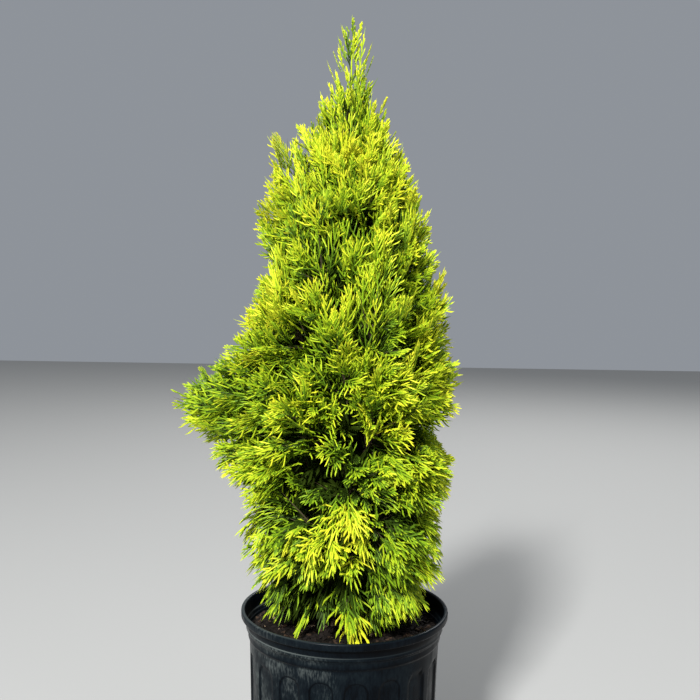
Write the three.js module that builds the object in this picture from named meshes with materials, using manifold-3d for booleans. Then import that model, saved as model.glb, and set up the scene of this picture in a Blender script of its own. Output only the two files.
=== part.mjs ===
// A golden thuja in a black nursery pot, in millimetres with +Z up.
// The origin is the centre of the pot's flat underside, and the front of the plant faces -Y.
import * as THREE from "three";
import { mergeVertices } from "three/addons/utils/BufferGeometryUtils.js";
import Module from "manifold-3d";

const wasm = await Module();
wasm.setup();

const UP = new THREE.Vector3(0, 0, 1);
const FULL_TURN = 2 * Math.PI;
const DEGREE = Math.PI / 180;
const GAP = 0.3; // left between pieces that touch in the real plant

// The pot: a rolled lip on a collar, a bead, a band, and a tapering wall with arched panels.
const POT = {
  height: 280,
  facets: 36,
  footRadius: 129,
  footEdge: 2.5,
  wallFootRadius: 131,
  wallTopRadius: 137,
  wallTop: 238,
  bandRadius: 139.3,
  bandTop: 251,
  beadRadius: 142.6,
  collarFoot: 258,
  collarRadius: 144,
  lipRadius: 150,
  lipHeight: 10.5,
  lipRound: 3,
  mouthRadius: 144.2,
  ease: 3,
  floor: 6,
  floorRadius: 125.5,
  innerShoulderRadius: 131.5,
  innerNeckRadius: 139.5,
};

// The arched panels pressed into the wall, and the drain mouths under every third one.
const PANEL = {
  count: 18,
  firstAt: -82.7 * DEGREE,
  width: 34,
  foot: 24,
  top: 222,
  depth: 2.6,
  cutDepth: 12,
  archSteps: 3,
};
const DRAIN = { count: 6, radius: 9, cutDepth: 30, archSteps: 3 };

const SOIL = { top: 252, edgeTop: 248, edgeWidth: 18, clear: 4 };

const TRUNK = {
  facets: 10,
  foot: SOIL.top + GAP,
  tip: 982,
  footRadius: 13.5,
  tipRadius: 2.2,
  flare: 7,
  flareHeight: 10,
  flareLobes: 5,
  lobeShare: 0.12,
  flareRings: [0, 8, 26],
  rings: 7,
  swaySide: 5,
  swayFront: -3,
  swayLength: 690,
  swayTurns: 1.6,
  leaderBend: 0.4,
};

// The crown's outer limit: its mean radius by height, read as straight runs between these levels.
const CROWN_TOP = 1128;
const CROWN_PROFILE = [
  [256, 60],
  [276, 94],
  [300, 130],
  [330, 153],
  [437, 168],
  [600, 180],
  [725, 153],
  [796, 133],
  [866, 110],
  [936, 80],
  [1006, 57],
  [1045, 42],
  [1075, 32],
  [1105, 22],
  [CROWN_TOP, 7],
];
// Where the crown swells or draws in: height, azimuth, how far, and how wide that is each way.
const CROWN_SWELLS = [
  { height: 590, azimuth: 180, by: 86, tall: 46, wide: 34 },
  { height: 655, azimuth: 180, by: 22, tall: 60, wide: 40 },
  { height: 520, azimuth: 180, by: 34, tall: 60, wide: 40 },
  { height: 950, azimuth: 180, by: 50, tall: 36, wide: 24 },
  { height: 860, azimuth: 180, by: 30, tall: 50, wide: 35 },
  { height: 540, azimuth: 0, by: -28, tall: 26, wide: 30 },
  { height: 690, azimuth: 60, by: 14, tall: 60, wide: 30 },
  { height: 280, azimuth: 272, by: 32, tall: 18, wide: 16 },
  { height: 480, azimuth: 115, by: 18, tall: 60, wide: 30 },
];
const CROWN_LOBES = { count: 5, depthShare: 0.033, turnPerHeight: 0.011 };

// The tiers of limbs from the soil up. leaves is the height where a limb leaves the trunk, ends is the
// height where its last spray meets the crown's limit, firstAt is the azimuth of the first limb, arch is
// how soon it rises, and wood is the share of the limb that is a bare bough.
const TIERS = [
  { name: "skirt", count: 6, firstAt: 30, leaves: 296, ends: 294, arch: 1.1, wood: 0 },
  { name: "lower", count: 6, firstAt: 0, leaves: 344, ends: 370, arch: 0.8, wood: 0 },
  { name: "belly", count: 6, firstAt: 30, leaves: 398, ends: 466, arch: 0.65, wood: 0.42 },
  { name: "waist", count: 6, firstAt: 0, leaves: 468, ends: 582, arch: 0.5, wood: 0.44 },
  { name: "chest", count: 5, firstAt: 54, leaves: 545, ends: 668, arch: 0.4, wood: 0 },
  { name: "shoulder", count: 5, firstAt: 0, leaves: 622, ends: 755, arch: 0.3, wood: 0 },
  { name: "neck", count: 4, firstAt: 65, leaves: 712, ends: 850, arch: 0.25, wood: 0 },
  { name: "upper", count: 3, firstAt: 50, leaves: 800, ends: 950, arch: 0.2, wood: 0 },
  { name: "crest", count: 3, firstAt: 0, leaves: 876, ends: 1038, arch: 0.15, wood: 0 },
];
const KEYS_PER_TIER = 16;
const LIMB_JITTER = { azimuth: 6 * DEGREE, rootHeight: 4, height: 10 };
const LIMB_STAGGER = 10; // neighbouring limbs leave the trunk this much lower and higher in turn
const LIMB_BEND = 0.6; // a limb's arch is highest this share of the way out
const BOUGH = { facets: 6, steps: 4, rootRadius: 5.4, tipRadius: 3.1 };
const STEM = { facets: 4, steps: 4, rootRadius: 2.9, topRootRadius: 1.7, tipRadius: 1.2 };

// Twigs turn round their stem by the golden angle, and each carries a spray.
const TWIG = {
  count: 5,
  firstShare: 0.34,
  boughFirstShare: 0.05,
  lastShare: 0.94,
  angle: 55 * DEGREE,
  turn: 137.5 * DEGREE,
  turnJitter: 0.5,
  length: 50,
  lengthJitter: 0.15,
  shortening: 0.3,
  shortest: 12,
  rootRadius: 2.2,
  sink: 1.5,
  leaderCount: 14,
  leaderAngle: 38 * DEGREE,
  leaderLength: 26,
};
const SPRAY = {
  longest: 136,
  shortest: 22,
  lengthJitter: 0.12,
  thickness: 3.4,
  hubShare: 0.42,
  spreadAtFoot: 0.44,
  spreadAtTop: 0.3,
  tipDroop: 0.08,
  rootShare: 0.5,
  lastRootShare: 0.96,
  turnRadius: 83,
  leaning: 0.85,
  facingUp: 0.3,
  headOn: 0.2,
  headOnRoll: 60 * DEGREE,
  rollJitter: 32 * DEGREE,
  narrowing: [1, 0.78, 0.58],
};
// How far a spray's axis rises above the level, by height: it hangs low down and stands near the top.
const SPRAY_LIFT = [
  [290, -55],
  [400, -34],
  [520, -5],
  [640, 30],
  [800, 58],
  [1128, 82],
];
// The dense inner foliage of a mass: rings round its stem, from and to these shares of the stem.
const CORE = {
  from: 0.12,
  trunkFrom: 0.42,
  to: 0.96,
  radius: 58,
  topRadius: 22,
  facets: 5,
  swell: [0.6, 1.05, 0.62],
  roomShare: 0.88,
  thinnest: 3.9,
  tries: [1, 0.93, 0.84, 0.7],
};
const LAST_SPRAY = 84; // a stem ends this far inside the crown's limit, or further where that swells
const LEADER_SPRAY = 40; // and the leader this far under the crown's top
const SPACE_MARGIN = 1.2; // a mass stays this much nearer to its own stem than to any other
const STEM_SAMPLES = 10;
const ROOM_STEP = 4;
const SHORTEST_EDGE = 0.01;

const material = (color, roughness) => new THREE.MeshStandardMaterial({ color, roughness, metalness: 0 });
const potMaterial = material(0x23282b, 0.45);
const soilMaterial = material(0x3a2a1e, 0.95);
const barkMaterial = material(0x6b4a33, 0.9);
const foliageMaterial = material(0x93a81c, 0.6);

// What each repeatable number is drawn for.
const DRAW = {
  azimuth: 1,
  rootHeight: 2,
  limitHeight: 3,
  twigTurn: 4,
  twigLength: 5,
  roll: 6,
  sprayLength: 7,
};

// A repeatable number from 0 to 1 that belongs to its keys.
function chance(...keys) {
  let hash = 2166136261;
  for (const key of keys) {
    hash = Math.imul(hash ^ key, 16777619);
    hash ^= hash >>> 15;
    hash = Math.imul(hash, 2246822519);
    hash ^= hash >>> 13;
  }
  return (hash >>> 0) / 4294967296;
}

// A repeatable number from -1 to 1.
const jitter = (...keys) => 2 * chance(...keys) - 1;

const mix = (a, b, share) => a + (b - a) * share;

// Reads a list of [height, value] levels as straight runs.
function levelAt(levels, height) {
  const next = levels.findIndex(([level]) => level >= height);
  if (next === 0) return levels[0][1];
  if (next < 0) return levels[levels.length - 1][1];
  const [low, lowValue] = levels[next - 1];
  const [high, highValue] = levels[next];
  return mix(lowValue, highValue, (height - low) / (high - low));
}

// How far up the crown a height is, from 0 at the soil to 1 at the top.
const riseShare = (height) => (height - SOIL.top) / (CROWN_TOP - SOIL.top);

// The crown's outer radius about the pot's axis.
function crownReach(height, azimuth) {
  let reach = levelAt(CROWN_PROFILE, height);
  for (const swell of CROWN_SWELLS) {
    const turned = Math.atan2(
      Math.sin(azimuth - swell.azimuth * DEGREE),
      Math.cos(azimuth - swell.azimuth * DEGREE),
    );
    const upright = (height - swell.height) / swell.tall;
    const sideways = turned / (swell.wide * DEGREE);
    reach += swell.by * Math.exp(-upright * upright - sideways * sideways);
  }
  const lobeTurn = CROWN_LOBES.count * azimuth + CROWN_LOBES.turnPerHeight * height;
  return reach * (1 + CROWN_LOBES.depthShare * Math.sin(lobeTurn));
}

// The trunk's centre line sways a little as it rises.
function trunkAxis(height) {
  const share = (height - TRUNK.foot) / TRUNK.swayLength;
  const side = TRUNK.swaySide * Math.sin(Math.PI * share);
  const front = TRUNK.swayFront * Math.sin(TRUNK.swayTurns * Math.PI * share);
  return new THREE.Vector3(side, front, height);
}

function trunkRadius(height) {
  const share = (height - TRUNK.foot) / (TRUNK.tip - TRUNK.foot);
  const flare = TRUNK.flare * Math.exp(-(height - TRUNK.foot) / TRUNK.flareHeight);
  return mix(TRUNK.footRadius, TRUNK.tipRadius, share) + flare;
}

// A closed mesh as a solid that can be joined and cut.
function solidOf(geometry) {
  const bare = geometry.clone();
  bare.deleteAttribute("normal");
  bare.deleteAttribute("uv");
  const merged = mergeVertices(bare, 1e-4);
  return new wasm.Manifold(
    new wasm.Mesh({
      numProp: 3,
      vertProperties: new Float32Array(merged.attributes.position.array),
      triVerts: new Uint32Array(merged.index.array),
    }),
  );
}

function geometryOf(solid) {
  const mesh = solid.getMesh();
  const geometry = new THREE.BufferGeometry();
  geometry.setAttribute("position", new THREE.BufferAttribute(mesh.vertProperties, 3));
  geometry.setIndex(new THREE.BufferAttribute(mesh.triVerts, 1));
  geometry.computeVertexNormals();
  return geometry;
}

// True where every edge is long enough to survive being written to a file.
function isSound(solid) {
  const mesh = solid.getMesh();
  const corner = (index) => new THREE.Vector3().fromArray(mesh.vertProperties, mesh.numProp * index);
  for (let triangle = 0; triangle < mesh.triVerts.length; triangle += 3) {
    for (let side = 0; side < 3; side++) {
      const from = corner(mesh.triVerts[triangle + side]);
      const to = corner(mesh.triVerts[triangle + ((side + 1) % 3)]);
      if (from.distanceTo(to) < SHORTEST_EDGE) return false;
    }
  }
  return true;
}

function meshOf(name, solid, finish) {
  const mesh = new THREE.Mesh(geometryOf(solid), finish);
  mesh.name = name;
  return mesh;
}

// A solid of triangles given as corner points and index triples.
function solidFromFaces(points, faces) {
  const geometry = new THREE.BufferGeometry();
  geometry.setAttribute("position", new THREE.Float32BufferAttribute(points.flatMap((p) => p.toArray()), 3));
  geometry.setIndex(faces.flat());
  return solidOf(geometry);
}

// Rings of points joined into a limb, closed by a flat cap at each end.
function loft(rings) {
  const sides = rings[0].length;
  const faces = [];
  for (let ring = 0; ring + 1 < rings.length; ring++) {
    for (let side = 0; side < sides; side++) {
      const here = ring * sides + side;
      const beside = ring * sides + ((side + 1) % sides);
      faces.push([here, beside, beside + sides], [here, beside + sides, here + sides]);
    }
  }
  const last = (rings.length - 1) * sides;
  for (let side = 1; side + 1 < sides; side++) {
    faces.push([0, side + 1, side], [last, last + side, last + side + 1]);
  }
  return solidFromFaces(rings.flat(), faces);
}

// One ring of a limb, square to its direction.
function ringAround(centre, along, radius, sides) {
  const side = new THREE.Vector3().crossVectors(along, UP);
  if (side.lengthSq() < 1e-6) side.set(1, 0, 0);
  side.normalize();
  const rise = new THREE.Vector3().crossVectors(side, along).normalize();
  const ring = [];
  for (let corner = 0; corner < sides; corner++) {
    const angle = (FULL_TURN * corner) / sides;
    ring.push(
      centre
        .clone()
        .addScaledVector(side, radius * Math.cos(angle))
        .addScaledVector(rise, -radius * Math.sin(angle)),
    );
  }
  return ring;
}

// A limb along part of a curve, tapering from its root to its tip.
function limb(curve, fromShare, toShare, rootRadius, tipRadius, facets, steps) {
  const rings = [];
  for (let step = 0; step <= steps; step++) {
    const share = step / steps;
    const at = mix(fromShare, toShare, share);
    const radius = mix(rootRadius, tipRadius, share);
    rings.push(ringAround(curve.getPoint(at), curve.getTangent(at), radius, facets));
  }
  return loft(rings);
}

// The trunk, or the space that other pieces keep clear when margin is more than none.
function trunkSolid(margin) {
  const heights = TRUNK.flareRings.map((rise) => TRUNK.foot + rise);
  for (let ring = 1; ring <= TRUNK.rings; ring++) {
    heights.push(mix(TRUNK.foot, TRUNK.tip, ring / TRUNK.rings));
  }
  const rings = heights.map((height, level) => {
    const centre = trunkAxis(height);
    const ring = [];
    for (let corner = 0; corner < TRUNK.facets; corner++) {
      const angle = (FULL_TURN * corner) / TRUNK.facets;
      const lobe = level === 0 ? 1 + TRUNK.lobeShare * Math.cos(TRUNK.flareLobes * angle) : 1;
      const radius = trunkRadius(height) * lobe + margin;
      ring.push(centre.clone().add(new THREE.Vector3(radius * Math.cos(angle), radius * Math.sin(angle), 0)));
    }
    return ring;
  });
  return loft(rings);
}

// A turned shape from a profile of [radius, height] points, stood upright.
function turned(profile, facets) {
  const points = profile.map(([radius, height]) => new THREE.Vector2(radius, height));
  return solidOf(new THREE.LatheGeometry(points, facets, PANEL.firstAt).rotateX(Math.PI / 2));
}

// An arch standing on a straight foot, as a flat outline.
function archOutline(width, foot, top, steps) {
  const radius = width / 2;
  const outline = new THREE.Shape();
  outline.moveTo(-radius, foot);
  outline.lineTo(radius, foot);
  for (let step = 0; step <= steps; step++) {
    const angle = (Math.PI * step) / steps;
    outline.lineTo(radius * Math.cos(angle), top - radius + radius * Math.sin(angle));
  }
  return outline;
}

// A block of an outline that stands at a radius and an azimuth and faces outwards.
function outwardBlock(outline, depth, radius, lean, azimuth) {
  const block = new THREE.ExtrudeGeometry(outline, { depth, bevelEnabled: false, curveSegments: 1 });
  block.rotateX(Math.PI / 2);
  block.rotateX(lean);
  block.translate(0, -radius, 0);
  block.rotateZ(azimuth + Math.PI / 2);
  return solidOf(block);
}

function potSolid() {
  const lipFoot = POT.height - POT.lipHeight;
  let pot = turned(
    [
      [0, 0],
      [POT.footRadius, 0],
      [POT.wallFootRadius, POT.footEdge],
      [POT.wallTopRadius, POT.wallTop],
      [POT.bandRadius, POT.wallTop + POT.ease],
      [POT.bandRadius, POT.bandTop],
      [POT.beadRadius, POT.bandTop + POT.ease],
      [POT.beadRadius, POT.collarFoot],
      [POT.collarRadius, lipFoot],
      [POT.lipRadius, lipFoot],
      [POT.lipRadius, POT.height - POT.lipRound],
      [(POT.lipRadius + POT.mouthRadius) / 2, POT.height],
      [POT.mouthRadius, POT.height - POT.lipRound],
      [POT.innerNeckRadius, SOIL.edgeTop],
      [POT.innerShoulderRadius, POT.wallTop],
      [POT.floorRadius, POT.floor],
      [0, POT.floor],
    ],
    POT.facets,
  );
  const lean = Math.atan((POT.wallTopRadius - POT.wallFootRadius) / POT.wallTop);
  const archedPanel = archOutline(PANEL.width, PANEL.foot, PANEL.top, PANEL.archSteps);
  for (let panel = 0; panel < PANEL.count; panel++) {
    const azimuth = PANEL.firstAt + (FULL_TURN * panel) / PANEL.count;
    const panelFace = POT.wallFootRadius - PANEL.depth;
    pot = pot.subtract(outwardBlock(archedPanel, PANEL.cutDepth, panelFace, lean, azimuth));
  }
  const drainMouth = archOutline(2 * DRAIN.radius, -DRAIN.radius, DRAIN.radius, DRAIN.archSteps);
  for (let drain = 0; drain < DRAIN.count; drain++) {
    const azimuth = PANEL.firstAt + (FULL_TURN * drain) / DRAIN.count;
    const drainFace = POT.floorRadius - DRAIN.radius;
    pot = pot.subtract(outwardBlock(drainMouth, DRAIN.cutDepth, drainFace, 0, azimuth));
  }
  return pot;
}

// The soil fills the pot and stands clear of it all round.
function soilSolid() {
  return turned(
    [
      [0, POT.floor + GAP],
      [POT.floorRadius - 2 * GAP, POT.floor + GAP],
      [POT.innerShoulderRadius - 2 * GAP, POT.wallTop],
      [POT.innerNeckRadius - 2 * GAP, SOIL.edgeTop - GAP],
      [POT.innerNeckRadius - SOIL.edgeWidth, SOIL.top],
      [0, SOIL.top],
    ],
    POT.facets,
  );
}

// Every limb's centre line: from the trunk, out under its arch, to where its last spray starts.
function limbCurve(tier, tierNumber, place) {
  const middle = (tier.firstAt + (360 * place) / tier.count) * DEGREE;
  const azimuth = middle + LIMB_JITTER.azimuth * jitter(tierNumber, place, DRAW.azimuth);
  const stagger = place % 2 === 0 ? -LIMB_STAGGER : LIMB_STAGGER;
  const uneven = LIMB_JITTER.rootHeight * jitter(tierNumber, place, DRAW.rootHeight);
  const rootHeight = tier.leaves + stagger + uneven;
  const limitHeight = tier.ends + LIMB_JITTER.height * jitter(tierNumber, place, DRAW.limitHeight);
  const outward = new THREE.Vector3(Math.cos(azimuth), Math.sin(azimuth), 0);
  const lift = levelAt(SPRAY_LIFT, limitHeight) * DEGREE;
  const root = trunkAxis(rootHeight);
  const limit = crownReach(limitHeight, azimuth);
  const lastSpray = (LAST_SPRAY * limit) / levelAt(CROWN_PROFILE, limitHeight);
  const reach = limit - lastSpray * Math.cos(lift);
  const tip = outward.clone().multiplyScalar(reach).setZ(limitHeight - lastSpray * Math.sin(lift));
  const bend = root.clone().addScaledVector(outward, LIMB_BEND * reach);
  bend.z = mix(rootHeight, tip.z, tier.arch);
  return new THREE.QuadraticBezierCurve3(root, bend, tip);
}

// The leader goes straight on from the trunk's tip.
function leaderCurve() {
  const root = trunkAxis(TRUNK.tip + GAP);
  const bend = root.clone().setZ(mix(TRUNK.tip, CROWN_TOP, TRUNK.leaderBend));
  const tip = root.clone().setZ(CROWN_TOP - LEADER_SPRAY);
  bend.x -= TRUNK.swaySide / 2;
  return new THREE.QuadraticBezierCurve3(root, bend, tip);
}

// The list of all masses, each with its curve and where its own stem starts on it.
function planMasses() {
  const masses = [];
  TIERS.forEach((tier, tierNumber) => {
    for (let place = 0; place < tier.count; place++) {
      masses.push({
        name: `${tier.name}_foliage_${place + 1}`,
        boughName: tier.wood > 0 ? `${tier.name}_bough_${place + 1}` : null,
        curve: limbCurve(tier, tierNumber, place),
        stemFrom: tier.wood,
        firstTwig: tier.wood > 0 ? TWIG.boughFirstShare : TWIG.firstShare,
        key: tierNumber * KEYS_PER_TIER + place,
      });
    }
  });
  masses.push({
    name: "leader_foliage",
    boughName: null,
    curve: leaderCurve(),
    stemFrom: 0,
    firstTwig: TWIG.boughFirstShare,
    key: TIERS.length * KEYS_PER_TIER,
    leader: true,
  });
  for (const mass of masses) {
    mass.outward = mass.curve.getPoint(1).sub(mass.curve.getPoint(0)).setZ(0).normalize();
    if (mass.leader) mass.outward.set(0, 0, 0);
    mass.samples = [];
    for (let sample = 0; sample < STEM_SAMPLES; sample++) {
      mass.samples.push(mass.curve.getPoint(mix(mass.stemFrom, 1, sample / (STEM_SAMPLES - 1))));
    }
  }
  return masses;
}

const nearest = (point, samples) => Math.min(...samples.map((sample) => point.distanceTo(sample)));

// True where a point is inside the crown, above the soil, and nearer to its own stem than to any other.
function inOwnSpace(point, mass, masses) {
  const reach = crownReach(point.z, Math.atan2(point.y, point.x));
  if (Math.hypot(point.x, point.y) > reach) return false;
  if (point.z < SOIL.top + SOIL.clear || point.z > CROWN_TOP) return false;
  const own = nearest(point, mass.samples) + SPACE_MARGIN;
  return masses.every((other) => other === mass || nearest(point, other.samples) > own);
}

// How far a straight line runs from a point before it leaves the mass's own space.
function roomAlong(from, along, limit, mass, masses) {
  let room = 0;
  while (room < limit) {
    const next = Math.min(room + ROOM_STEP, limit);
    if (!inOwnSpace(from.clone().addScaledVector(along, next), mass, masses)) break;
    room = next;
  }
  return room;
}

function boxesMeet(a, b) {
  return [0, 1, 2].every((axis) => a.min[axis] <= b.max[axis] && b.min[axis] <= a.max[axis]);
}

const obstacle = (solid) => ({ solid, box: solid.boundingBox() });

function touchesAny(piece, obstacles) {
  const box = piece.boundingBox();
  return obstacles.some((other) => boxesMeet(box, other.box) && !piece.intersect(other.solid).isEmpty());
}

// Adds a piece to a mass, unless that would leave it in two bodies, with a sealed hollow, or with slivers.
function join(solid, piece) {
  const joined = solid.add(piece);
  return joined.decompose().length === 1 && isSound(joined) ? joined : solid;
}

// A three-sided twig from inside its stem to a point.
function twigSolid(root, along, length) {
  const base = ringAround(root.clone().addScaledVector(along, -TWIG.sink), along, TWIG.rootRadius, 3);
  const faces = [
    [0, 2, 1],
    [0, 1, 3],
    [1, 2, 3],
    [2, 0, 3],
  ];
  return solidFromFaces([...base, root.clone().addScaledVector(along, length)], faces);
}

// The outline of a flat spray: its root, then five fingers with a notch between each two.
function sprayOutline(root, along, across, length, spread) {
  const at = (forward, sideways) =>
    root
      .clone()
      .addScaledVector(along, forward * length)
      .addScaledVector(across, sideways * length)
      .addScaledVector(UP, -SPRAY.tipDroop * forward * forward * length);
  return [
    at(0, 0),
    at(0.56, spread),
    at(0.55, 0.44 * spread),
    at(0.84, 0.62 * spread),
    at(0.7, 0.2 * spread),
    at(1, 0),
    at(0.7, -0.2 * spread),
    at(0.84, -0.62 * spread),
    at(0.55, -0.44 * spread),
    at(0.56, -spread),
  ];
}

// The spray as a toothed blade, thickest at its hub and thin all round its edge.
function spraySolid(outline, along, across) {
  const face = new THREE.Vector3().crossVectors(along, across).normalize();
  const tip = outline[outline.length / 2];
  const hub = outline[0].clone().lerp(tip, SPRAY.hubShare);
  const top = hub.clone().addScaledVector(face, SPRAY.thickness / 2);
  const under = hub.clone().addScaledVector(face, -SPRAY.thickness / 2);
  const faces = [];
  for (let corner = 0; corner < outline.length; corner++) {
    const next = (corner + 1) % outline.length;
    faces.push([corner, outline.length, next], [next, outline.length + 1, corner]);
  }
  return solidFromFaces([...outline, top, under], faces);
}

// The direction in which a spray grows from a point: outwards, and up or down by height.
function sprayDirection(point, stemOutward, leaning) {
  const outward = new THREE.Vector3(point.x, point.y, 0).divideScalar(SPRAY.turnRadius).add(stemOutward);
  outward.normalize();
  const lift = levelAt(SPRAY_LIFT, point.z) * DEGREE;
  const freeGrowth = outward.multiplyScalar(Math.cos(lift)).addScaledVector(UP, Math.sin(lift));
  return freeGrowth.addScaledVector(leaning, SPRAY.leaning).normalize();
}

// A direction across a stem or spray, level at first and then rolled about its axis.
function acrossFrom(along, roll) {
  const across = new THREE.Vector3().crossVectors(UP, along);
  if (across.lengthSq() < 1e-4) across.set(1, 0, 0);
  return across.normalize().applyAxisAngle(along, roll);
}

// A direction across a spray that turns its flat face to the outside of the crown.
function acrossFacing(along, outward, roll) {
  const facing = outward.clone().addScaledVector(UP, SPRAY.facingUp).normalize();
  const across = new THREE.Vector3().crossVectors(facing, along);
  if (across.length() < SPRAY.headOn) return acrossFrom(along, roll + SPRAY.headOnRoll);
  return across.normalize().applyAxisAngle(along, roll);
}

// Joins a spray that reaches as far as the mass's own space lets it, unless that is too short.
function addSpray(solid, root, along, roll, key, mass, masses, obstacles) {
  const across = acrossFacing(along, mass.outward, roll);
  const spread = mix(SPRAY.spreadAtFoot, SPRAY.spreadAtTop, riseShare(root.z));
  const longest = SPRAY.longest * (1 + SPRAY.lengthJitter * jitter(mass.key, key, DRAW.sprayLength));
  const sag = along.clone().addScaledVector(UP, -SPRAY.tipDroop);
  const length = roomAlong(root, sag, longest, mass, masses);
  if (length < SPRAY.shortest) return solid;
  for (const narrow of SPRAY.narrowing) {
    const outline = sprayOutline(root, along, across, length, spread * narrow);
    if (!outline.slice(1).every((point) => inOwnSpace(point, mass, masses))) continue;
    const spray = spraySolid(outline, along, across);
    const joined = touchesAny(spray, obstacles) ? solid : join(solid, spray);
    if (joined !== solid) return joined;
  }
  return solid;
}

// The dense inside of a mass, as wide as its own space lets it be.
function coreSolid(size, mass, masses) {
  const from = mass.stemFrom > 0 ? mix(mass.stemFrom, 1, CORE.from) : CORE.trunkFrom;
  const fullRadius = size * mix(CORE.radius, CORE.topRadius, riseShare(mass.curve.getPoint(1).z) ** 2);
  const rings = CORE.swell.map((swell, step) => {
    const at = mix(from, CORE.to, step / (CORE.swell.length - 1));
    const centre = mass.curve.getPoint(at);
    const unitRing = ringAround(new THREE.Vector3(), mass.curve.getTangent(at), 1, CORE.facets);
    return unitRing.map((corner) => {
      const room = roomAlong(centre, corner, (fullRadius * swell) / CORE.roomShare, mass, masses);
      return centre.clone().addScaledVector(corner, Math.max(CORE.roomShare * room, CORE.thinnest));
    });
  });
  return loft(rings);
}

function addCore(solid, mass, masses, obstacles) {
  for (const size of CORE.tries) {
    const core = coreSolid(size, mass, masses);
    const joined = touchesAny(core, obstacles) ? solid : join(solid, core);
    if (joined !== solid) return joined;
  }
  return solid;
}

// One mass of foliage: a stem, its dense inside, twigs round the stem, and sprays on the twigs.
function growMass(mass, masses, obstacles) {
  const start = mass.stemFrom > 0 ? mass.stemFrom + GAP / mass.curve.getLength() : 0;
  const rootRadius = mix(STEM.rootRadius, STEM.topRootRadius, riseShare(mass.curve.getPoint(0).z));
  let solid = limb(mass.curve, start, 1, rootRadius, STEM.tipRadius, STEM.facets, STEM.steps);
  if (mass.stemFrom === 0 && !mass.leader) solid = solid.subtract(obstacles[0].solid);
  if (!mass.leader) solid = addCore(solid, mass, masses, obstacles);
  const last = sprayDirection(mass.curve.getPoint(1), mass.outward, new THREE.Vector3());
  const lastRoot = mass.curve.getPoint(SPRAY.lastRootShare);
  solid = addSpray(solid, lastRoot, last, 0, TWIG.leaderCount, mass, masses, obstacles);
  const twigs = mass.leader ? TWIG.leaderCount : TWIG.count;
  const angle = mass.leader ? TWIG.leaderAngle : TWIG.angle;
  const usual = mass.leader ? TWIG.leaderLength : TWIG.length;
  for (let number = 0; number < twigs; number++) {
    const share = mix(mass.firstTwig, TWIG.lastShare, number / (twigs - 1));
    const at = mix(mass.stemFrom, 1, share);
    const root = mass.curve.getPoint(at);
    const tangent = mass.curve.getTangent(at);
    const turn = number * TWIG.turn + TWIG.turnJitter * jitter(mass.key, number, DRAW.twigTurn);
    const side = acrossFrom(tangent, turn);
    const along = tangent.clone().multiplyScalar(Math.cos(angle)).addScaledVector(side, Math.sin(angle));
    const uneven = 1 + TWIG.lengthJitter * jitter(mass.key, number, DRAW.twigLength);
    const wanted = usual * (1 - TWIG.shortening * share) * uneven;
    const length = roomAlong(root, along, wanted, mass, masses);
    if (length < TWIG.shortest) continue;
    const twig = twigSolid(root, along, length);
    if (touchesAny(twig, obstacles)) continue;
    const withTwig = join(solid, twig);
    const roll = SPRAY.rollJitter * jitter(mass.key, number, DRAW.roll);
    const sprayRoot = root.clone().addScaledVector(along, SPRAY.rootShare * length);
    const sprayAlong = sprayDirection(sprayRoot, mass.outward, along);
    const grown = addSpray(withTwig, sprayRoot, sprayAlong, roll, number, mass, masses, obstacles);
    if (grown !== withTwig) solid = grown;
  }
  return solid;
}

const plant = new THREE.Group();
plant.add(meshOf("pot", potSolid(), potMaterial));
plant.add(meshOf("soil", soilSolid(), soilMaterial));
plant.add(meshOf("trunk", trunkSolid(0), barkMaterial));

const trunkClearance = trunkSolid(GAP);
const masses = planMasses();
const obstacles = [obstacle(trunkClearance)];

for (const mass of masses.filter((one) => one.boughName)) {
  const place = [mass.curve, 0, mass.stemFrom];
  const wood = limb(...place, BOUGH.rootRadius, BOUGH.tipRadius, BOUGH.facets, BOUGH.steps);
  const clearance = limb(...place, BOUGH.rootRadius + GAP, BOUGH.tipRadius + GAP, BOUGH.facets, BOUGH.steps);
  plant.add(meshOf(mass.boughName, wood.subtract(trunkClearance), barkMaterial));
  obstacles.push(obstacle(clearance));
}
for (const mass of masses) {
  const solid = growMass(mass, masses, obstacles);
  plant.add(meshOf(mass.name, solid, foliageMaterial));
  obstacles.push(obstacle(solid));
}

export default plant;
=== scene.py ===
import math

import bpy
import numpy as np
from mathutils import Matrix, Vector


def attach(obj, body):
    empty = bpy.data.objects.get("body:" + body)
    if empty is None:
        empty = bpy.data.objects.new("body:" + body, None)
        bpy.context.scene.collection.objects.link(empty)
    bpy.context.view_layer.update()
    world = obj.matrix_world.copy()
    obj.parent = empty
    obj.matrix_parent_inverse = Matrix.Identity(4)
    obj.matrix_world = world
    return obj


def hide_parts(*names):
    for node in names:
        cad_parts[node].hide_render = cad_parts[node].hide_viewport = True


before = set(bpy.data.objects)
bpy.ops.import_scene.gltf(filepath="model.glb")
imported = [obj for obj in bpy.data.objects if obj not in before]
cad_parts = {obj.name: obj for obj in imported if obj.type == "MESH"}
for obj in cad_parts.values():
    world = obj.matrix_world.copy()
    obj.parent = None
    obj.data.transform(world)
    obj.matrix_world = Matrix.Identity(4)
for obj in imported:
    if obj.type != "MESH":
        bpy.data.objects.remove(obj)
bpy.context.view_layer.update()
metresPerMm = 0.001
degree = math.pi / 180
upwards = np.array([0.0, 0.0, 1.0])
rightwards = np.array([1.0, 0.0, 0.0])
# lengths too small to show, which keep a direction from coming out as nothing
tinyStep = 1e-6
smallStep = 1e-3
nearlyParallel = 0.2


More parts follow.
